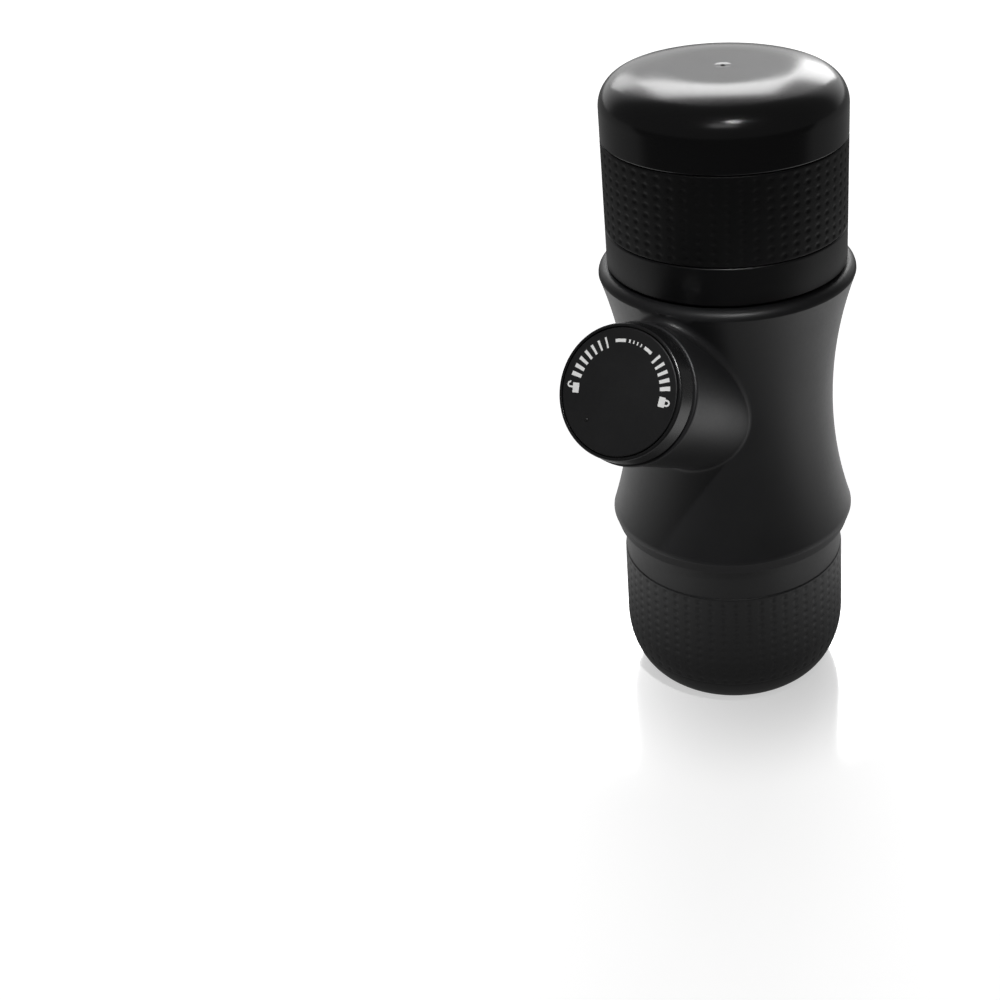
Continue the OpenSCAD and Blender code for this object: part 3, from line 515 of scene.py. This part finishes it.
def dimpled_sheet(group, sizes):
    """The sheet that the tree makes from the named sizes, as a bmesh in millimetres."""
    mesh = bpy.data.meshes.new("sheet")
    obj = bpy.data.objects.new("sheet", mesh)
    bpy.context.scene.collection.objects.link(obj)
    modifier = obj.modifiers.new("dimples", "NODES")
    modifier.node_group = group
    names = {item.name: item.identifier for item in group.interface.items_tree if item.in_out == "INPUT"}
    for label, value in sizes.items():
        modifier[names[label]] = value
    bake_modifiers(obj)
    bm = bmesh.new()
    bm.from_mesh(obj.data)
    bpy.data.objects.remove(obj)
    return bm


def close_round(bm, outline, steps):
    """Closes a wrapped sheet with the rest of its outline, from its top edge round to its bottom edge."""
    join_rings(bm, [ring(bm, r, z, steps) for r, z in outline])
    bmesh.ops.remove_doubles(bm, verts=bm.verts, dist=0.002)
    bmesh.ops.recalc_face_normals(bm, faces=bm.faces)
    return bm


def make_grip_band(group):
    steps = 8
    low, high = BAND_Z0 + BAND_EDGE_R, BAND_Z1 - BAND_EDGE_R
    bm = dimpled_sheet(group, {
        "Columns": DENT_COLUMNS, "Rows": BAND_ROWS, "Steps": steps, "Low": low, "High": high,
        "Low Radius": TANK_R, "High Radius": TANK_R, "Edge Height": low - 1.0, "Edge Width": 0.0,
        "Dent Radius": DENT_R, "Dent Depth": DENT_DEPTH, "Finish": GRIP,
    })
    outline = arc(TANK_R - BAND_EDGE_R, high, BAND_EDGE_R, 0, 90) + [(SLEEVE_R, BAND_Z1), (SLEEVE_R, BAND_Z0)]
    outline += arc(TANK_R - BAND_EDGE_R, low, BAND_EDGE_R, -90, 0)
    close_round(bm, outline, DENT_COLUMNS * steps)
    return piece("dimpled_band", bm, GRIP, "tank", ["tank_grip_band"], sharp=60)


def make_cup(group):
    steps = 7
    edge_w = CUP_BELLY_R - CUP_BASE_R
    inner_edge_w = edge_w - CUP_WALL
    inner_edge_h = CUP_EDGE_H - CUP_WALL

    def belly(z):
        return CUP_BASE_R + edge_w * math.sqrt(1 - (1 - z / CUP_EDGE_H) ** 2)

    bm = dimpled_sheet(group, {
        "Columns": DENT_COLUMNS, "Rows": CUP_ROWS, "Steps": steps, "Low": GRIP_LOW, "High": GRIP_HIGH,
        "Low Radius": CUP_BELLY_R, "High Radius": CUP_GRIP_R, "Edge Height": CUP_EDGE_H, "Edge Width": edge_w,
        "Dent Radius": DENT_R, "Dent Depth": DENT_DEPTH, "Finish": CUP_SATIN,
    })
    # the step from the dimpled zone up to the smooth band
    outer = [
        (CUP_GRIP_R, GRIP_HIGH), (CUP_GRIP_R - 0.06, GRIP_HIGH + 0.12),
        (CUP_R + 0.06, GRIP_HIGH + 0.3), (CUP_R, GRIP_HIGH + 0.45),
    ]
    rim_z = CUP_TOP_Z - CUP_RIM_R
    rim = arc(CUP_R - CUP_RIM_R, rim_z, CUP_RIM_R, 0, 90)
    rim += arc(CUP_R - CUP_WALL + CUP_RIM_R, rim_z, CUP_RIM_R, 90, 180)
    turns = [math.radians(a) for a in range(90, -1, -9)]
    inner = [(CUP_R - CUP_WALL, GRIP_HIGH)] + [
        (CUP_BASE_R + inner_edge_w * math.sin(a), CUP_EDGE_H - inner_edge_h * math.cos(a)) for a in turns
    ]
    base = [(0, CUP_WALL), (0, CUP_FOOT_H), (CUP_BASE_R - 1.2, CUP_FOOT_H), (CUP_BASE_R - 0.6, 0.0)]
    lower = [(belly(z), z) for z in (0.05, 0.25, 0.6, 1.1, 1.8, 2.7, 3.8, 5.0, 6.3, 7.6, GRIP_LOW - 0.25)]
    # the dimpled zone starts in a fine step
    lower += [(belly(GRIP_LOW - 0.1) - 0.1, GRIP_LOW - 0.1), (belly(GRIP_LOW), GRIP_LOW)]
    close_round(bm, outer + rim + inner + base + lower, DENT_COLUMNS * steps)
    return piece("drinking_cup", bm, CUP_SATIN, "cup", ["cup"], sharp=60)


# ---------------------------------------------------------------- main body


def body_radius(z):
    return CURVE_X - math.sqrt(WAIST_CURVE_R ** 2 - (z - WAIST_Z) ** 2)


def bisect(f, low, high):
    """A root of f between low and high, where f changes sign."""
    rising = f(high) > 0
    for _ in range(48):
        middle = (low + high) / 2
        if (f(middle) > 0) == rising:
            high = middle
        else:
            low = middle
    return (low + high) / 2


def boss_point(turn, radius, reach):
    """A point, in millimetres, on a cylinder round the pump's axis."""
    local = Vector((radius * math.cos(turn), radius * math.sin(turn), reach)) * MM
    return PUMP_FRAME @ local / MM


def boss_fillet(turns, steps):
    """For each turn round the boss, the fillet's points from the waist's curve to the boss."""
    rows = []
    for turn in turns:
        def outside(reach):
            p = boss_point(turn, BOSS_R + BOSS_FILLET, reach)
            gap = math.hypot(math.hypot(p.x, p.y) - CURVE_X, p.z - WAIST_Z)
            return (WAIST_CURVE_R - BOSS_FILLET) - gap
        reach = bisect(outside, 5.0, BOSS_END)
        centre = boss_point(turn, BOSS_R + BOSS_FILLET, reach)
        on_boss = boss_point(turn, BOSS_R, reach)
        round_r = math.hypot(centre.x, centre.y)
        scale = WAIST_CURVE_R / (WAIST_CURVE_R - BOSS_FILLET)
        r = CURVE_X + (round_r - CURVE_X) * scale
        on_body = Vector((centre.x * r / round_r, centre.y * r / round_r, 0))
        on_body.z = WAIST_Z + (centre.z - WAIST_Z) * scale
        a, b = (on_body - centre).normalized(), (on_boss - centre).normalized()
        rows.append([centre + a.slerp(b, k / steps) * BOSS_FILLET for k in range(steps + 1)])
    return rows


def make_body():
    """The body's shell: waist, fillet, boss, flange and rim as one closed skin, hollowed with booleans."""
    round_steps = 240
    rise_steps = 60
    boss_steps = 168
    fillet_steps = 6
    bm = bmesh.new()
    turns = [2 * math.pi * k / boss_steps for k in range(boss_steps)]
    rows = boss_fillet(turns, fillet_steps)

    # the waist, laid flat as (angle, height), with a hole where the boss joins
    def flat(p):
        return Vector((math.atan2(p.x, -p.y) * WAIST_R, p.z))

    hole = [flat(row[0]) for row in rows]
    width = math.pi * WAIST_R
    columns = [-width + 2 * width * k / round_steps for k in range(round_steps + 1)]
    heights = [BEVEL_Z + (FLANGE_Z - BEVEL_Z) * k / rise_steps for k in range(rise_steps + 1)]
    margin = 0.75 * 2 * width / round_steps
    hole_reach = 30  # the boss joins the waist well inside this

    def in_hole(p, grow=0.0):
        if abs(p.x) > hole_reach:
            return False
        inside = False
        for a, b in zip(hole, hole[1:] + hole[:1]):
            if (a.y > p.y) != (b.y > p.y) and p.x < (b.x - a.x) * (p.y - a.y) / (b.y - a.y) + a.x:
                inside = not inside
        if not inside and grow:
            return any((p - h).length < grow for h in hole)
        return inside

    points = [Vector((x, z)) for x in columns for z in heights]
    points = [p for p in points if not in_hole(p, margin)]
    start = len(points)
    points += hole
    edges = [(start + k, start + (k + 1) % boss_steps) for k in range(boss_steps)]
    coords, _, triangles, _, _, _ = delaunay_2d_cdt(points, edges, [], 0, 1e-5)
    verts = []
    for p in coords:
        r, angle = body_radius(p.y), p.x / WAIST_R
        verts.append(bm.verts.new((r * math.sin(angle), -r * math.cos(angle), p.y)))
    for tri in triangles:
        middle = sum((coords[k] for k in tri), Vector((0, 0))) / 3
        if not in_hole(middle):
            bm.faces.new([verts[k] for k in tri])

    # fillet, boss and its closed end
    strip = [[bm.verts.new(p) for p in row] for row in rows]
    reach_steps = 10
    for k, turn in enumerate(turns):
        last = rows[k][-1]
        begin = (PUMP_FRAME.inverted() @ (last * MM)).z / MM
        strip[k] += [
            bm.verts.new(boss_point(turn, BOSS_R, begin + (BOSS_END - begin) * j / reach_steps))
            for j in range(1, reach_steps + 1)
        ]
    for k in range(boss_steps):
        a, b = strip[k], strip[(k + 1) % boss_steps]
        for j in range(len(a) - 1):
            bm.faces.new([a[j], b[j], b[j + 1], a[j + 1]])
    bm.faces.new([s[-1] for s in strip])

    # flange and rim, each closed by a flat face that the hollow takes out
    def ring_rows(outline):
        rings = []
        for r, z in outline:
            rings.append([
                bm.verts.new((r * math.sin(x / WAIST_R), -r * math.cos(x / WAIST_R), z)) for x in columns[:-1]
            ])
        for a, b in zip(rings, rings[1:]):
            for k in range(round_steps):
                n = (k + 1) % round_steps
                bm.faces.new([a[k], a[n], b[n], b[k]])
        bm.faces.new(rings[-1])

    inner_r = 20.0
    bevel_r = body_radius(BEVEL_Z)
    flange = arc(body_radius(FLANGE_Z) - FLANGE_R, FLANGE_Z, FLANGE_R, 0, 90, 12)
    rim = [
        (bevel_r, BEVEL_Z), (bevel_r - 0.12, BEVEL_Z - 0.35), (RIM_R + 0.04, BODY_Z0 + RIM_LIP_R + 0.2),
        (RIM_R - 0.08, BODY_Z0 + 0.12), (RIM_R - RIM_LIP_R, BODY_Z0),
    ]
    ring_rows(flange + [(inner_r, BODY_Z1)])
    ring_rows(rim + [(inner_r, BODY_Z0)])
    bmesh.ops.remove_doubles(bm, verts=bm.verts, dist=0.004)
    bmesh.ops.recalc_face_normals(bm, faces=bm.faces)
    body = placed_object("body_solid", bm)

    # the hollow, from the cup's room up through the waist to the socket's room
    over = 5
    cup_r, cup_z = CUP_R + RUN_GAP, CUP_TOP_Z + RUN_GAP
    group_z = CUP_TOP_Z + GROUP_ROOM_H
    socket_z = BODY_Z1 - SOCKET_ROOM_H
    shoulder_z = BODY_Z1 - SOCKET_SHOULDER_H
    shoulder_r = SOCKET_R - SOCKET_SHOULDER_W
    socket_r = SOCKET_R + 0.1
    levels = 20
    waist = [group_z + k * (socket_z - group_z) / levels for k in range(levels + 1)]
    hollow = placed_object("hollow", turned_mesh([
        (0, BODY_Z0 - over), (cup_r, BODY_Z0 - over), (cup_r, cup_z),
        (GROUP_ROOM_R, cup_z), (GROUP_ROOM_R, group_z),
    ] + [
        (CURVE_X - math.sqrt((WAIST_CURVE_R + BODY_WALL) ** 2 - (z - WAIST_Z) ** 2), z) for z in waist
    ] + [
        (shoulder_r, socket_z), (shoulder_r, shoulder_z), (socket_r, shoulder_z), (socket_r, BODY_Z1 + over),
        (0, BODY_Z1 + over),
    ]))
    lip_l0 = BOSS_END - RUN_GAP - LOCK_FLANGE_H - RUN_GAP
    lip_r = BOSS_R - BOSS_LIP_W
    bore = placed_object("bore", turned_mesh([
        (0, 0), (BOSS_BORE_R, 0), (BOSS_BORE_R, lip_l0), (lip_r, lip_l0), (lip_r, BOSS_END + over),
        (0, BOSS_END + over),
    ], 96), PUMP_FRAME)
    for cutter in (hollow, bore):
        cut = body.modifiers.new("cut", "BOOLEAN")
        cut.operation = "DIFFERENCE"
        cut.solver = "EXACT"
        cut.object = cutter
    bake_modifiers(body)
    bm = bmesh.new()
    bm.from_mesh(body.data)
    bmesh.ops.scale(bm, vec=(1 / MM, 1 / MM, 1 / MM), verts=bm.verts)
    for scrap in (body, hollow, bore):
        bpy.data.objects.remove(scrap)
    return piece("body_shell", bm, SATIN, "main", ["main_body_shell"])


# ---------------------------------------------------------------- knob


def make_trim_ring():
    bore_r = TUBE_R + TUBE_COLLAR_W + RUN_GAP
    corners = [(bore_r, BOSS_END, 0), (TRIM_R, BOSS_END, 0.3), (TRIM_R, TRIM_L1, 0.6), (bore_r, TRIM_L1, 0.5)]
    return turned("boss_end_ring", corners, SATIN, "main", ["boss_trim_ring"], PUMP_FRAME)


def make_knob():
    """The knob: a skirt that narrows a little towards the face, a web, and a collar round the plunger's tube."""
    wall = 1.8
    collar_h = 1.6
    foot_r, face_r = KNOB_R + 0.2, KNOB_R - 0.45
    skirt_r = KNOB_R - wall
    web_l0 = FACE_L0 - wall
    collar_l0 = web_l0 - collar_h
    collar_r = TUBE_R + 0.1
    collar_out = collar_r + TUBE_COLLAR_W
    bore_r = FACE_R + RUN_GAP
    corners = [
        (0, web_l0, 0), (collar_r, web_l0, 0), (collar_r, collar_l0, 0), (collar_out, collar_l0, 0.2),
        (collar_out, web_l0, 0.2), (skirt_r, web_l0, 0.2), (skirt_r, KNOB_L0, 0.2), (foot_r, KNOB_L0, 0.4),
        (face_r, KNOB_L1, 0.6), (bore_r, KNOB_L1, 0.04), (bore_r, FACE_L0, 0), (0, FACE_L0, 0),
    ]
    return turned("knob", corners, KNOB_SATIN, "plunger", ["knob_cap"], PUMP_FRAME, steps=8)


def make_knob_disc():
    corners = [(0, FACE_L0, 0), (FACE_R, FACE_L0, 0), (FACE_R, FACE_L1, 0.3), (0, FACE_L1, 0)]
    bm = turned_mesh(filleted(corners))
    pip_r, pip_sunk = 0.5, 0.1
    pip_at, pip_turn = 10.3, math.radians(230)
    dome = arc(0, FACE_L1 - pip_sunk, pip_r, 0, 90, 6)[:-1] + [(0, FACE_L1 + pip_r - pip_sunk)]
    pip = turned_mesh([(0, FACE_L1 - 2 * pip_sunk)] + dome, 24)
    there = (pip_at * math.cos(pip_turn), pip_at * math.sin(pip_turn), 0)
    bmesh.ops.translate(pip, verts=pip.verts, vec=there)
    scrap = bpy.data.meshes.new("pip")
    pip.to_mesh(scrap)
    pip.free()
    bm.from_mesh(scrap)
    return piece("knob_disc", bm, DISC, "plunger", ["knob_face_disc"], PUMP_FRAME)


def slab(bm, outline, z0, z1):
    """A thin printed mark: a flat outline given some thickness."""
    low = [bm.verts.new((x, y, z0)) for x, y in outline]
    high = [bm.verts.new((x, y, z1)) for x, y in outline]
    bm.faces.new(low[::-1])
    bm.faces.new(high)
    for k in range(len(outline)):
        n = (k + 1) % len(outline)
        bm.faces.new([low[k], low[n], high[n], high[k]])


def ring_mark(bm, r0, r1, start, end, z0, z1):
    """A printed arc between two radii and two angles in degrees."""
    steps = max(2, int(abs(end - start) / 3))
    slab(bm, arc(0, 0, r1, start, end, steps) + arc(0, 0, r0, end, start, steps), z0, z1)


def padlock(bm, middle_r, turn, open_by, z0, z1):
    """A padlock pictogram that stands upright on the ring of marks. open_by lifts and shifts its shackle."""
    half_w, body_h, bar = 1.15, 1.5, 0.42
    loop_r = 0.8
    foot = 0.1
    top = 0.8 if open_by else 0.55
    spin = Matrix.Rotation(math.radians(turn - 90), 2)
    centre = Vector((middle_r * math.cos(math.radians(turn)), middle_r * math.sin(math.radians(turn))))

    def put(points):
        slab(bm, [tuple(centre + spin @ Vector(p)) for p in points], z0, z1)

    put([(-half_w, -body_h), (half_w, -body_h), (half_w, foot), (-half_w, foot)])
    put(arc(open_by, top, loop_r, 0, 180, 8) + arc(open_by, top, loop_r - bar, 180, 0, 8))
    for left, low in ((open_by - loop_r, foot), (open_by + loop_r - bar, top - 0.1 if open_by else foot)):
        put([(left, low), (left + bar, low), (left + bar, top), (left, top)])


def make_knob_marks():
    """Plain marks in white ink: two padlocks, bars that thicken towards them, and a dashed arc between."""
    bm = bmesh.new()
    z0, z1 = FACE_L1 - 0.02, FACE_L1 + 0.04
    mark_r0, mark_r1 = 10.5, 13.1
    middle_r = (mark_r0 + mark_r1) / 2
    lock_r = middle_r + 0.2
    padlock(bm, lock_r, 187, 0.75, z0, z1)
    padlock(bm, lock_r, 0, 0, z0, z1)
    # angles round the disc, in degrees: where the bars start, their step, and how many there are
    for first, step, count in ((172, -8.8, 7), (15, 8.8, 5)):
        for k in range(count):
            turn, half = first + step * k, 2.3 - 0.2 * k
            ring_mark(bm, mark_r0, mark_r1, turn - half, turn + half, z0, z1)
    dash_half_w = 0.38
    for start, end in ((108, 95), (91, 89), (85.5, 84), (80.5, 79), (75.5, 74), (70, 59)):
        ring_mark(bm, middle_r - dash_half_w, middle_r + dash_half_w, start, end, z0, z1)
    bmesh.ops.recalc_face_normals(bm, faces=bm.faces)
    return piece("knob_marks", bm, INK, "plunger", place=PUMP_FRAME)


# ---------------------------------------------------------------- springs


def make_valve_spring(name, node):
    """The light spring under a valve's ball: a copy of its solid's own shape, in steel."""
    bm = bmesh.new()
    bm.from_mesh(frame["nodes"][node].data)
    bmesh.ops.remove_doubles(bm, verts=bm.verts, dist=1e-7)
    bmesh.ops.scale(bm, vec=(1 / MM, 1 / MM, 1 / MM), verts=bm.verts)
    obj = piece(name, bm, STEEL, None, [node])
    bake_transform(obj)


# ---------------------------------------------------------------- stage


def make_stage():
    """A polished white floor, with the object's reflection near its foot.

    The camera sees it white all over. The object sees it white behind and beside itself, and dark in front
    and far off, so that satin plastic keeps its dark middle and its bright edges."""
    bm = bmesh.new()
    bmesh.ops.create_grid(bm, x_segments=2, y_segments=2, size=6)
    mesh = bpy.data.meshes.new("floor")
    bm.to_mesh(mesh)
    bm.free()
    floor = bpy.data.objects.new("floor", mesh)
    floor.location.z = -0.0002  # just under the cup's base
    bpy.context.scene.collection.objects.link(floor)
    material = bpy.data.materials.new("floor")
    material.use_nodes = True
    tree = Nodes(material.node_tree)
    material.node_tree.nodes.remove(material.node_tree.nodes["Principled BSDF"])
    place = tree.add("ShaderNodeNewGeometry").outputs["Position"]
    # how far a point of the floor lies towards the camera, and from the object's axis
    ahead = tree.along_view(place)
    away = tree.add("ShaderNodeVectorMath", {0: place}, operation="LENGTH").outputs["Value"]

    matt = tree.add("ShaderNodeBsdfDiffuse", {"Color": (0.9, 0.9, 0.9, 1)}).outputs[0]
    lift = tree.add("ShaderNodeEmission", {"Color": (*WHITE, 1), "Strength": 0.78}).outputs[0]
    lifted = tree.add("ShaderNodeAddShader")
    tree.put(lifted.inputs[0], matt)
    tree.put(lifted.inputs[1], lift)
    polish = tree.add("ShaderNodeBsdfGlossy", {"Color": (*WHITE, 1), "Roughness": 0.12}).outputs[0]
    seen = tree.add("ShaderNodeMixShader", {"Fac": tree.range(away, 0.02, 0.062, 0.34, 0.0, smooth=True)})
    tree.put(seen.inputs[1], lifted.outputs[0])
    tree.put(seen.inputs[2], polish)

    # for the object's own rays the floor is a painted glow in its emission: painted light behind and beside the
    # object, painted shade in front and far off
    front = tree.math("MINIMUM", tree.range(ahead, -0.02, 0.16, 1.55, 0.03, smooth=True), 1.0)
    # painted shadow: the glow is dimmed round the object's foot, where its shadow falls
    near = tree.range(away, 0.05, 0.105, 0.12, 1.0, smooth=True)
    far = tree.range(away, 0.18, 0.30, 1.0, 0.13, smooth=True)
    shade = tree.math("MULTIPLY_ADD", tree.math("MULTIPLY", front, far), near, 0.04)
    painted_floor_glow = tree.add("ShaderNodeEmission", {"Color": (*WHITE, 1), "Strength": shade}).outputs[0]
    both = tree.add("ShaderNodeMixShader", {"Fac": tree.add("ShaderNodeLightPath").outputs["Is Camera Ray"]})
    tree.put(both.inputs[1], painted_floor_glow)
    tree.put(both.inputs[2], seen.outputs[0])
    tree.put(material.node_tree.nodes["Material Output"].inputs["Surface"], both.outputs[0])
    mesh.materials.append(material)


def make_world():
    """The camera sees white all round. The object sees it behind and low down, and a dim room elsewhere."""
    world = bpy.data.worlds.new("room")
    bpy.context.scene.world = world
    world.use_nodes = True
    tree = Nodes(world.node_tree)
    background = world.node_tree.nodes["Background"]
    way = tree.add("ShaderNodeTexCoord").outputs["Generated"]
    up = tree.add("ShaderNodeSeparateXYZ", {"Vector": way}).outputs["Z"]
    behind = tree.range(tree.along_view(way), -0.95, -0.45, 0.92, 0.0, smooth=True)
    low = tree.range(up, 0.60, 0.78, 1.0, 0.0, smooth=True)
    shade = tree.math("MULTIPLY_ADD", behind, low, 0.1)
    seen = tree.add("ShaderNodeLightPath").outputs["Is Camera Ray"]
    background.inputs["Color"].default_value = (*WHITE, 1)
    tree.put(background.inputs["Strength"], tree.math("MAXIMUM", shade, seen))


def aim_lamp(lamp, place, target):
    """Sets a lamp up at its place, so far right, towards the camera and up in metres, and turns it to a target."""
    right, ahead, up = place
    obj = bpy.data.objects.new(lamp.name, lamp)
    bpy.context.scene.collection.objects.link(obj)
    obj.location = CAMERA_RIGHT * right + TO_CAMERA * ahead + Vector((0, 0, up))
    obj.rotation_euler = (target - obj.location).to_track_quat("-Z", "Y").to_euler()


def softbox(name, place, size, glow):
    """A large soft lamp that faces the object. glow is how bright it looks, where 1 is white."""
    lamp = bpy.data.lights.new(name, "AREA")
    lamp.shape = "RECTANGLE"
    lamp.size, lamp.size_y = size
    lamp.energy = glow * math.pi * size[0] * size[1]
    aim_lamp(lamp, place, CAMERA_AIM)


def knob_spot(place, width, watts):
    """A narrow lamp on the knob's face, so that its print shows as white as it is."""
    lamp = bpy.data.lights.new("knob_spot", "SPOT")
    lamp.spot_size = math.radians(width)
    lamp.spot_blend = 0.7
    lamp.shadow_soft_size = 0.03
    lamp.energy = watts
    aim_lamp(lamp, place, PUMP_FRAME @ Vector((0, 0, FACE_L1 * MM)))


def make_camera():
    data = bpy.data.cameras.new("camera")
    data.sensor_width = 36
    data.lens = data.sensor_width * FOCAL_PIXELS / PHOTO_SIDE
    data.shift_x = 0.5 - AXIS_PIXEL[0] / PHOTO_SIDE
    data.shift_y = AXIS_PIXEL[1] / PHOTO_SIDE - 0.5
    data.clip_start = 0.01
    camera = bpy.data.objects.new("camera", data)
    bpy.context.scene.collection.objects.link(camera)
    back = TO_CAMERA * math.cos(CAMERA_RISE) + Vector((0, 0, math.sin(CAMERA_RISE)))
    camera.location = CAMERA_AIM + back * CAMERA_AWAY
    turn = back.to_track_quat("Z", "Y").to_matrix() @ Matrix.Rotation(CAMERA_ROLL, 3, "Z")
    camera.rotation_euler = turn.to_euler()
    bpy.context.scene.camera = camera


def make_lights():
    make_world()
    softbox("back_top", (-0.05, -1.5, 1.13), (0.64, 0.50), 4.9)
    softbox("back_right", (0.41, -1.44, 0.62), (0.42, 0.48), 4.2)
    softbox("back_left", (-0.54, -1.4, 0.74), (0.47, 0.38), 2.3)
    softbox("above_camera", (-0.02, 1.0, 1.12), (0.5, 0.3), 1.3)
    knob_spot((0.1, 0.55, 0.95), 5, 32)


# ---------------------------------------------------------------- the whole

make_camera()
make_stage()
make_lights()
dress_frame()
make_end_cap()
make_collar()
DIMPLES = dimple_tree("dimpled_sheet")
make_grip_band(DIMPLES)
make_cup(DIMPLES)
make_body()
make_trim_ring()
make_knob()
make_knob_disc()
make_knob_marks()
make_valve_spring("inlet_spring", "inlet_valve_spring")
make_valve_spring("outlet_spring", "outlet_valve_spring")

bpy.context.scene.view_settings.view_transform = "Standard"
